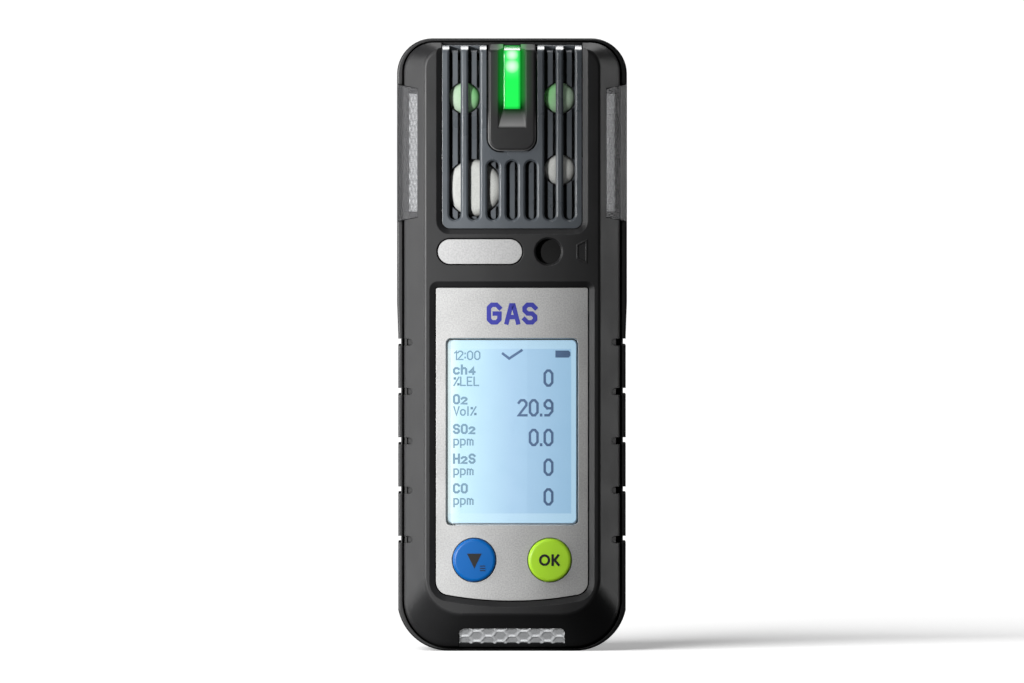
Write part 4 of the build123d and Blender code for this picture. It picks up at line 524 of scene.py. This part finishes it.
def guide_finish():
    """The lit status light: saturated green with two white hot spots where the light source shines in."""
    low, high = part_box("status_light_guide")
    made, tree, shader = new_material("light_green")
    x, _, z = axes(tree)
    spots = 0.0
    for height, radius in GUIDE_SPOTS:
        across = maths(tree, "POWER", x, 2.0)
        along = maths(tree, "POWER", maths(tree, "SUBTRACT", z, height), 2.0)
        away = maths(tree, "SQRT", maths(tree, "ADD", across, along), 0.0)
        spot = remap(tree, away, 0, GUIDE_SPOT_SPREAD * radius, 1, 0, smooth=True)
        spots = maths(tree, "MAXIMUM", spots, spot)
    shade = ramp(tree, spots, GUIDE_STOPS)
    side = maths(tree, "ABSOLUTE", x, 0.0)
    sides = remap(tree, side, high.x - GUIDE_SIDE_FADE, high.x, 1.0, GUIDE_EDGE_LEVEL, smooth=True)
    ends = remap(tree, z, low.z, low.z + GUIDE_FOOT_FADE, GUIDE_EDGE_LEVEL, 1.0, smooth=True)
    over_top = remap(tree, z, high.z - GUIDE_TOP_FADE[0], high.z - GUIDE_TOP_FADE[1], 1.0, GUIDE_TOP_LEVEL,
                     smooth=True)
    level = maths(tree, "MULTIPLY", maths(tree, "MULTIPLY", sides, ends), over_top)
    shade = blend(tree, level, GUIDE_DARK, shade)
    unlit = between(tree, noise(tree, GUIDE_CLOUD_SIZE), GUIDE_DARK, GUIDE_SPECKLE)
    join(tree, unlit, shader, "Base Color")
    glow(tree, shader, shade, GUIDE_GLOW)
    shader.inputs["Roughness"].default_value = GUIDE_ROUGHNESS
    normal, _ = soft_edges(tree, GUIDE_EDGE)
    join(tree, normal, shader, "Normal")
    return made


def bezel_finish():
    """The satin black tongue, with a painted highlight on its trough's lower ramp and a painted green glow
    beside the light guide, where its light spills.
    """
    low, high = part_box("status_light_guide")
    made = finish("bezel_black", (0.009, 0.009, 0.0094), 0.42, specular=0.22, depth=0.004 * MM, edge=0.3 * MM,
                  wear=0.15, groove_reach=0.6 * MM)
    tree = made.node_tree
    shader = tree.nodes["Principled BSDF"]
    x, y, z = axes(tree)
    front_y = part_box("status_light_bezel")[0].y
    # Painted highlight: the trough's lower ramp below the guide is lightened to grey.
    inside = remap(tree, y, front_y + TROUGH_WALL[0], front_y + TROUGH_WALL[1], 0, 1)
    ramp_foot = remap(tree, z, low.z - TROUGH_RAMP[0], low.z - TROUGH_RAMP[1], 0, 1)
    black = shader.inputs["Base Color"].links[0].from_socket
    join(tree, blend(tree, maths(tree, "MULTIPLY", inside, ramp_foot), black, TROUGH_PAINTED_HIGHLIGHT), shader,
         "Base Color")
    # Painted light: the tongue glows green beside the guide, standing in for the guide's spilled light.
    side = maths(tree, "ABSOLUTE", x, 0.0)
    beside = remap(tree, side, high.x, high.x + SPILL_REACH, 1, 0, smooth=True)
    along = remap(tree, z, low.z - SPILL_BELOW, low.z + SPILL_ABOVE, 0, 1, smooth=True)
    glow(tree, shader, ramp(tree, maths(tree, "MULTIPLY", beside, along), SPILL_STOPS), 1.0)
    return made


def filter_finish():
    """White porous discs. The ones beside the status light have its green light painted on them."""
    made, tree, shader = new_material("filter_white")
    x, _, z = axes(tree)
    porous = noise(tree, DISC_PORE, detail=4.0)
    # Painted light: green from the status light, strongest on the discs nearest it and higher up.
    side = maths(tree, "ABSOLUTE", x, 0.0)
    beside = remap(tree, side, *DISC_GREEN_LIGHT_X, *DISC_GREEN_LIGHT_SHARES, smooth=True)
    high_up = remap(tree, z, *DISC_GREEN_LIGHT_FOOT, 0, 1)
    upward = remap(tree, z, *DISC_GREEN_LIGHT_RISE, *DISC_GREEN_LIGHT_RISE_SHARES)
    share = maths(tree, "MULTIPLY", maths(tree, "MULTIPLY", beside, high_up), upward)
    join(tree, blend(tree, share, between(tree, porous, *DISC_WHITES), DISC_PAINTED_GREEN_LIGHT), shader, "Base Color")
    shader.inputs["Roughness"].default_value = DISC_ROUGHNESS
    normal, _ = soft_edges(tree, DISC_EDGE)
    add_bump(tree, shader, porous, DISC_PORE_DEPTH, normal)
    return made


def reflector_finish():
    """Bright plating in the recesses of the alarm lights, with painted shade in the cells of its relief so
    that the ridges stand out brighter.
    """
    made = finish("reflector_silver", (0.3, 0.3, 0.3), 0.45, metallic=0.2, grain=0.5 * MM, depth=0.01 * MM,
                  edge=0, mottle=0.06)
    tree = made.node_tree
    shader = tree.nodes["Principled BSDF"]
    plain = shader.inputs["Base Color"].links[0].from_socket
    # Painted shade: the cells between the ridges are darkened to grey, by the stored ridge share.
    relief = tree.nodes.new("ShaderNodeAttribute")
    relief.attribute_name = RIDGE_ATTRIBUTE
    join(tree, blend(tree, relief.outputs["Fac"], REFLECTOR_CELL_PAINTED_SHADE, plain), shader, "Base Color")
    return made


def button_finish(name, colour):
    """Satin moulded button."""
    return finish(name, colour, 0.33, specular=0.22, grain=0.25 * MM, depth=0.003 * MM, mottle=0.03,
                  edge=0.15 * MM)


FINISHES = {
    "casing_black": finish("casing_black", (0.012, 0.012, 0.0125), 0.42, specular=0.22, depth=0.007 * MM,
                           wear=0.35, edge=0.22 * MM, groove_reach=1.2 * MM),
    "inlet_anthracite": finish("inlet_anthracite", (0.053, 0.061, 0.07), 0.3, depth=0.004 * MM, wear=0.5,
                               edge=0.16 * MM, groove_reach=0.8 * MM),
    "gloss_black": finish("gloss_black", (0.014, 0.014, 0.015), 0.22, depth=0.002 * MM, wear=0.15),
    "clear_lens": clear_finish("clear_lens", (0.115, 0.115, 0.12), 0.12, (0.97, 0.975, 0.98), 0.22),
    "reflector_silver": reflector_finish(),
    "plate_silver": plate_finish(),
    "display_clear": clear_finish("display_clear", (0.9, 0.9, 0.9), 0.02, (0.985, 0.99, 0.99), 0.04),
    "lcd": lcd_finish(),
    "backlight": finish("backlight", (0.85, 0.9, 0.95), 0.5),
    "button_blue": button_finish("button_blue", srgb(3, 79, 144)),
    "button_green": button_finish("button_green", srgb(156, 202, 46)),
    "light_green": guide_finish(),
    "filter_white": filter_finish(),
    "label_silver": finish("label_silver", (0.3, 0.3, 0.3), 0.5, metallic=0.2, grain=0.35 * MM,
                           depth=0.015 * MM, speckle=0.1, mottle=0.04, edge=0.12 * MM),
    "seal_rubber": finish("seal_rubber", (0.02, 0.02, 0.02), 0.75, grain=0.5 * MM, depth=0.02 * MM),
    "sensor_can": finish("sensor_can", (0.7, 0.71, 0.73), 0.35, mottle=0.04),
    "inner_black": finish("inner_black", (0.035, 0.035, 0.038), 0.6),
    "inner_white": finish("inner_white", (0.75, 0.75, 0.73), 0.5, mottle=0.04),
    "circuit_green": finish("circuit_green", (0.02, 0.16, 0.05), 0.35, grain=0.8 * MM, speckle=0.2),
    "steel": finish("steel", (0.52, 0.53, 0.55), 0.32, metallic=1.0, grain=0.2 * MM, speckle=0.05,
                    mottle=0.06, wear=0.2, edge=0.1 * MM),
    "contact_gold": finish("contact_gold", (0.83, 0.6, 0.25), 0.25, metallic=1.0, mottle=0.05, speckle=0.05),
    "cell_wrap": finish("cell_wrap", (0.08, 0.2, 0.45), 0.3, coat=0.3),
    "label_white": finish("label_white", (0.62, 0.62, 0.62), 0.45, grain=0.4 * MM, depth=0.004 * MM,
                          mottle=0.03),
}
DISPLAY_INK = finish("display_ink", srgb(40, 80, 122), 0.5, mottle=0.05, edge=0)
DISPLAY_THIN_INK = finish("display_thin_ink", srgb(78, 116, 138), 0.5, mottle=0.05, edge=0)
HEADING_BLUE = finish("heading_blue", srgb(18, 24, 130), 0.4, mottle=0.06, edge=0)
MARK_BLACK = finish("mark_black", (0.008, 0.008, 0.008), 0.5, specular=0.2, mottle=0.06, edge=0)
# The black horn membrane, made darker still than the other inner parts as painted shade for the deep horn
# hole.
HORN_BLACK_AND_SHADE = finish("horn_black_and_shade", (0.004, 0.004, 0.004), 0.7, specular=0.2)

for part in nodes.values():
    for material_slot in part.material_slots:
        material_slot.material = FINISHES[material_slot.material.name]
nodes["status_light_bezel"].material_slots[0].material = bezel_finish()
nodes["horn_membrane"].material_slots[0].material = HORN_BLACK_AND_SHADE


# ---- Reflectors with a honeycomb relief ---------------------------------------------------------
def honeycomb(u, v, edge, ridge_width):
    """How high the honeycomb stands at a point: 1 on the ridges between cells, 0 in the cells."""
    apothem = edge * math.sqrt(3) / 2
    best = math.inf
    column = round(u / (1.5 * edge))
    for index in (column - 1, column, column + 1):
        shift = 0.0 if index % 2 else apothem
        row = round((v - shift) / (2 * apothem))
        du = abs(u - index * 1.5 * edge)
        dv = abs(v - shift - row * 2 * apothem)
        best = min(best, max(dv, du * math.sqrt(3) / 2 + dv / 2))
    share = min(max((best - apothem + ridge_width) / ridge_width, 0.0), 1.0)
    return share * share * (3 - 2 * share)


def relief_skin(name, node_name, outward, hex_edge, ridge_width, relief):
    """A thin skin that follows the outer face of a CAD reflector, with honeycomb cells sunk into it."""
    low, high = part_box(node_name)
    mesh = nodes[node_name].data
    surface = BVHTree.FromPolygons([v.co for v in mesh.vertices], [p.vertices for p in mesh.polygons])
    outward = Vector(outward).normalized()
    along = Vector((0, 0, 1)) if abs(outward.x) > abs(outward.z) else Vector((1, 0, 0))
    across = outward.cross(along).normalized()
    along = across.cross(outward).normalized()
    middle = (low + high) / 2
    corners = [Vector(corner) - middle for corner in product(*zip(low, high))]
    half_u = max(corner.dot(along) for corner in corners)
    half_v = max(corner.dot(across) for corner in corners)
    points = {}
    skin = bmesh.new()
    ridge_layer = skin.verts.layers.float.new(RIDGE_ATTRIBUTE)
    for i in range(-int(half_u / SKIN_STEP), int(half_u / SKIN_STEP) + 1):
        for j in range(-int(half_v / SKIN_STEP), int(half_v / SKIN_STEP) + 1):
            u, v = i * SKIN_STEP, j * SKIN_STEP
            start = middle + along * u + across * v + outward * RAY_START
            hit, normal, _, _ = surface.ray_cast(start, -outward)
            if hit is not None and normal.dot(outward) > OUTER_FACE_COSINE:
                ridge = honeycomb(u, v, hex_edge, ridge_width)
                points[i, j] = skin.verts.new(hit - normal * relief * (1 - ridge))
                # The ridge share is kept on the skin for the painted shade in the cells.
                points[i, j][ridge_layer] = ridge
    for (i, j), corner in points.items():
        square = [points.get(key) for key in ((i, j), (i + 1, j), (i + 1, j + 1), (i, j + 1))]
        if None not in square:
            skin.faces.new(square)
    loose = [v for v in skin.verts if not v.link_faces]
    bmesh.ops.delete(skin, geom=loose, context="VERTS")
    bmesh.ops.recalc_face_normals(skin, faces=skin.faces)
    facing_out = sum(face.normal.dot(outward) for face in skin.faces)
    if facing_out < 0:
        bmesh.ops.reverse_faces(skin, faces=skin.faces)
    for face in skin.faces:
        face.smooth = True
    data = bpy.data.meshes.new(name)
    skin.to_mesh(data)
    skin.free()
    made = bpy.data.objects.new(name, data)
    bpy.context.scene.collection.objects.link(made)
    data.materials.append(FINISHES["reflector_silver"])
    thickness = made.modifiers.new("thickness", "SOLIDIFY")
    thickness.thickness = SKIN_THICKNESS
    thickness.offset = -1
    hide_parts(node_name)
    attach(made, "casing")


relief_skin("bottom_honeycomb", "bottom_alarm_reflector", FOOT_OUTWARD, FOOT_HEX_EDGE, FOOT_RIDGE_WIDTH,
            FOOT_RELIEF)
for side_name, side_outward in (("right", RIGHT_OUTWARD), ("left", LEFT_OUTWARD)):
    relief_skin(side_name + "_honeycomb", side_name + "_alarm_reflector", side_outward, SIDE_HEX_EDGE,
                SIDE_RIDGE_WIDTH, SIDE_RELIEF)


# ---- Lettering and marks ------------------------------------------------------------------------
def ribbon(points, width):
    """The two edges of a flat ribbon along a line of (x, z) points, with mitred corners."""
    closed = points[0] == points[-1]
    line = [Vector(point) for point in (points[:-1] if closed else points)]
    if not closed:
        line[0] = line[0] + (line[0] - line[1]).normalized() * width / 2
        line[-1] = line[-1] + (line[-1] - line[-2]).normalized() * width / 2
    left, right = [], []
    for index, point in enumerate(line):
        ways = []
        if closed or index > 0:
            ways.append((point - line[index - 1]).normalized())
        if closed or index < len(line) - 1:
            ways.append((line[(index + 1) % len(line)] - point).normalized())
        tangent = sum(ways, Vector((0, 0))).normalized()
        side = Vector((-tangent.y, tangent.x))
        reach = width / 2 / max(side.dot(Vector((-ways[0].y, ways[0].x))), MITRE_LIMIT)
        left.append(point + side * reach)
        right.append(point - side * reach)
    if closed:
        left.append(left[0])
        right.append(right[0])
    return left, right


def mark(name, lines, shapes, width, face_y, thickness, material, body):
    """Ribbons and filled shapes that stand a little proud of a face that looks forwards."""
    flat = bmesh.new()

    def corner(point, lift=0.0):
        return flat.verts.new((point[0], face_y - lift, point[1]))

    for number, line in enumerate(lines):
        lift = number % STROKE_LEVELS * STROKE_STEP
        left, right = ribbon(line, width)
        left_corners = [corner(point, lift) for point in left]
        right_corners = [corner(point, lift) for point in right]
        for index in range(len(left) - 1):
            flat.faces.new((left_corners[index], left_corners[index + 1], right_corners[index + 1],
                            right_corners[index]))
    for shape in shapes:
        flat.faces.new([corner(point) for point in shape])
    bmesh.ops.remove_doubles(flat, verts=flat.verts, dist=WELD_DISTANCE)
    raised = bmesh.ops.extrude_face_region(flat, geom=flat.faces[:], use_keep_orig=True)
    tops = [part for part in raised["geom"] if isinstance(part, bmesh.types.BMVert)]
    bmesh.ops.translate(flat, verts=tops, vec=(0, -thickness, 0))
    bmesh.ops.recalc_face_normals(flat, faces=flat.faces)
    data = bpy.data.meshes.new(name)
    flat.to_mesh(data)
    flat.free()
    data.materials.append(material)
    made = bpy.data.objects.new(name, data)
    bpy.context.scene.collection.objects.link(made)
    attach(made, body)


def advance(character):
    """How far the next character starts, in grid units."""
    return CLOSE_AFTER.get(character, USUAL_ADVANCE)


def text_width(text, narrowing=1.0, spacing=0.0):
    """The width of a line of text, in grid units, without the gap after its last character."""
    last = max(x for line in GLYPHS[text[-1]] for x, _ in line)
    return sum(advance(character) * narrowing + spacing for character in text[:-1]) + last * narrowing


def text_lines(text, left, foot, unit, narrowing=1.0, spacing=0.0, low_digits=False):
    """The strokes of a line of text as lines of (x, z) points."""
    lines = []
    for character in text:
        wide, high, drop = narrowing, 1.0, 0.0
        if low_digits and character in LOW_DIGITS:
            wide, high, drop = LOW_DIGIT_WIDTH, LOW_DIGIT_HEIGHT, LOW_DIGIT_DROP
        for line in GLYPHS[character]:
            lines.append([(left + x * wide * unit, foot + (z * high - drop) * unit) for x, z in line])
        left += (advance(character) * narrowing + spacing) * unit
    return lines


def build_display():
    """What the display shows: a clock, a tick, a battery and five gas readings, as flat dark shapes."""
    face_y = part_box("lcd_panel")[0].y - INK_GAP
    names, thin, readings = [], [], []
    for row, (gas, unit_name, reading) in enumerate(READINGS):
        drop = row * ROW_PITCH
        names += text_lines(gas, TEXT_LEFT, NAME_FOOT - drop, TEXT_UNIT, spacing=NAME_SPACING,
                            low_digits=True)
        thin += text_lines(unit_name, TEXT_LEFT, UNIT_FOOT - drop, TEXT_UNIT)
        width = text_width(reading, READING_NARROWING, READING_SPACING) * READING_UNIT
        left = READING_RIGHT - READING_UNIT / 2 - width
        readings += text_lines(reading, left, READING_FOOT + READING_UNIT / 2 - drop, READING_UNIT,
                               READING_NARROWING, READING_SPACING)
    thin += text_lines("12:00", TEXT_LEFT, CLOCK_FOOT, TEXT_UNIT, spacing=CLOCK_SPACING)
    tick = [[(x * MM, z * MM) for x, z in TICK_MM]]
    battery = [(x * MM, z * MM) for x, z in BATTERY_MM]
    for name, lines, shapes, width, ink in (
        ("display_gas_names", names, [], NAME_STROKE, DISPLAY_THIN_INK),
        ("display_units", thin, [], THIN_STROKE, DISPLAY_THIN_INK),
        ("display_readings", readings, [], READING_UNIT, DISPLAY_INK),
        ("display_icons", tick, [battery], READING_UNIT, DISPLAY_INK),
    ):
        mark(name, lines, shapes, width, face_y, INK_THICKNESS, ink, "casing")


def build_heading():
    """A plain generic word above the display."""
    face_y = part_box("front_plate")[0].y
    width = text_width(HEADING, spacing=HEADING_SPACING) * HEADING_UNIT
    lines = text_lines(HEADING, -width / 2, HEADING_FOOT, HEADING_UNIT, spacing=HEADING_SPACING)
    mark("plate_heading", lines, [], HEADING_STROKE, face_y, PRINT_THICKNESS, HEADING_BLUE, "casing")


def build_window_print():
    """The thin dark line printed round the display window."""
    low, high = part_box("display_window")
    inset = WINDOW_PRINT_WIDTH / 2
    outline = []
    for x_side, z_side, start in ((1, 1, 0), (-1, 1, 1), (-1, -1, 2), (1, -1, 3)):
        x = (high.x - WINDOW_PRINT_CORNER) * x_side
        z = (high.z if z_side > 0 else low.z) - WINDOW_PRINT_CORNER * z_side
        for step in range(WINDOW_CORNER_STEPS + 1):
            angle = (start + step / WINDOW_CORNER_STEPS) * math.pi / 2
            reach = WINDOW_PRINT_CORNER - inset
            outline.append((x + reach * math.cos(angle), z + reach * math.sin(angle)))
    mark("window_print", [outline + outline[:1]], [], WINDOW_PRINT_WIDTH, low.y, PRINT_THICKNESS, MARK_BLACK,
         "casing")


def button_centre(name):
    """A button's middle, with Y at its top face."""
    low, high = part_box(name)
    return Vector(((low.x + high.x) / 2, low.y, (low.z + high.z) / 2))


def build_button_marks():
    """A down arrow with a small list sign on one button, and OK on the other."""
    menu = button_centre("menu_button")
    arrow = [(menu.x + x * MM, menu.z + z * MM) for x, z in ARROW_MM]
    bars = [[(menu.x + x * MM, menu.z + z * MM) for x in LIST_SIGN_X_MM] for z in LIST_SIGN_HEIGHTS_MM]
    mark("menu_button_arrow", [], [arrow], READING_UNIT, menu.y, BUTTON_MARK_THICKNESS, MARK_BLACK,
         "menu_button")
    mark("menu_button_bars", bars, [], LIST_SIGN_STROKE, menu.y, BUTTON_MARK_THICKNESS, MARK_BLACK,
         "menu_button")
    ok = button_centre("ok_button")
    angles = [2 * math.pi * step / LETTER_O_STEPS for step in range(LETTER_O_STEPS)]
    letter_o = [(ok.x + LETTER_O_X + LETTER_O_HALF_WIDTH * math.cos(angle),
                 ok.z + LETTER_O_HALF_HEIGHT * math.sin(angle)) for angle in angles]
    letter_k = text_lines("K", ok.x + LETTER_K_LEFT, ok.z - GLYPH_HEIGHT / 2 * LETTER_UNIT, LETTER_UNIT)
    mark("ok_button_letters", [letter_o + letter_o[:1]] + letter_k, [], LETTER_STROKE, ok.y,
         BUTTON_MARK_THICKNESS, MARK_BLACK, "ok_button")


build_display()
build_heading()
build_window_print()
build_button_marks()


# ---- Floor, light and camera --------------------------------------------------------------------
def build_floor():
    """A wide plain pale floor."""
    data = bpy.data.meshes.new("floor")
    corners = [(x, y, 0) for x, y in ((-1, -1), (1, -1), (1, 1), (-1, 1))]
    data.from_pydata([Vector(corner) * FLOOR_HALF for corner in corners], [], [(0, 1, 2, 3)])
    made = bpy.data.objects.new("floor", data)
    bpy.context.scene.collection.objects.link(made)
    paint, tree, shader = new_material("floor_white")
    clouds = noise(tree, FLOOR_CLOUD_SIZE)
    join(tree, between(tree, clouds, scaled(FLOOR_WHITE, FLOOR_DARKENING), FLOOR_WHITE), shader, "Base Color")
    shader.inputs["Roughness"].default_value = FLOOR_ROUGHNESS
    shader.inputs["Emission Color"].default_value = (1, 1, 1, 1)
    shader.inputs["Emission Strength"].default_value = FLOOR_GLOW
    data.materials.append(paint)
    made.visible_diffuse = False
    made.visible_glossy = False
    return made


def add_light(name, kind, place_at, aim, energy, **settings):
    """A light at a place, turned towards a point."""
    data = bpy.data.lights.new(name, kind)
    data.energy = energy
    for setting, value in settings.items():
        setattr(data, setting, value)
    made = bpy.data.objects.new(name, data)
    bpy.context.scene.collection.objects.link(made)
    made.location = place_at
    made.rotation_mode = "QUATERNION"
    made.rotation_quaternion = (Vector(aim) - Vector(place_at)).to_track_quat("-Z", "Y")
    made.visible_camera = False
    return made


def build_world():
    """White behind the object, and a dim even room for everything else."""
    world = bpy.data.worlds.new("studio")
    bpy.context.scene.world = world
    world.use_nodes = True
    tree = world.node_tree
    room = tree.nodes["Background"]
    room.inputs["Color"].default_value = (1, 1, 1, 1)
    room.inputs["Strength"].default_value = ROOM_GREY
    backdrop = node(tree, "ShaderNodeBackground", Strength=BACKDROP_WHITE)
    backdrop.inputs["Color"].default_value = (1, 1, 1, 1)
    path = tree.nodes.new("ShaderNodeLightPath")
    mixer = tree.nodes.new("ShaderNodeMixShader")
    tree.links.new(path.outputs["Is Camera Ray"], mixer.inputs[0])
    tree.links.new(room.outputs[0], mixer.inputs[1])
    tree.links.new(backdrop.outputs[0], mixer.inputs[2])
    tree.links.new(mixer.outputs[0], tree.nodes["World Output"].inputs["Surface"])


def light_only(light, receivers):
    """Lets a light fall on a few objects only."""
    collection = bpy.data.collections.new(light.name + "_receivers")
    for receiver in receivers:
        collection.objects.link(receiver)
    light.light_linking.receiver_collection = collection


def light_all_but(light, left_out):
    """Lets a light fall on everything but one object."""
    light_only(light, [left_out])
    collection = light.light_linking.receiver_collection
    collection.collection_objects[0].light_linking.link_state = "EXCLUDE"


def add_softbox(name, place_at, power, width, height):
    """A rectangular light that looks at the middle of the object."""
    return add_light(name, "AREA", place_at, LIGHT_AIM, power, shape="RECTANGLE", size=width, size_y=height)


def build_lights(floor):
    """A sun for the floor and the shadow on it, and softboxes and a narrow sweep for the object."""
    floor_sun = add_light("floor_sun", "SUN", SUN_PLACE, (0, 0, 0), SUN_STRENGTH, angle=SUN_ANGLE)
    light_only(floor_sun, [floor])
    for *settings, pieces in SOFTBOXES:
        softbox = add_softbox(*settings)
        if pieces:
            light_only(softbox, [bpy.data.objects[piece] for piece in pieces])
        else:
            light_all_but(softbox, floor)
    sweep = add_light("front_sweep", "SPOT", SWEEP_PLACE, SWEEP_AIM, SWEEP_POWER, spot_size=SWEEP_CONE,
                      spot_blend=1.0, shadow_soft_size=SWEEP_SOURCE)
    sweep.scale = SWEEP_STRETCH
    light_all_but(sweep, floor)


def build_camera():
    """A long lens, nearly level with the middle of the object."""
    data = bpy.data.cameras.new("camera")
    data.lens = LENS
    data.sensor_width = SENSOR_WIDTH
    distance = VIEW_WIDTH * LENS / SENSOR_WIDTH
    target = Vector((0, cad_box[0].y, VIEW_HEIGHT_ABOVE_FLOOR))
    back = Vector((0, -math.cos(CAMERA_ELEVATION), math.sin(CAMERA_ELEVATION)))
    camera = bpy.data.objects.new("camera", data)
    bpy.context.scene.collection.objects.link(camera)
    camera.matrix_world = (Matrix.Translation(target + back * distance)
                           @ (-back).to_track_quat("-Z", "Y").to_matrix().to_4x4())
    bpy.context.scene.camera = camera


build_world()
build_lights(build_floor())
build_camera()
bpy.context.scene.view_settings.view_transform = "Standard"
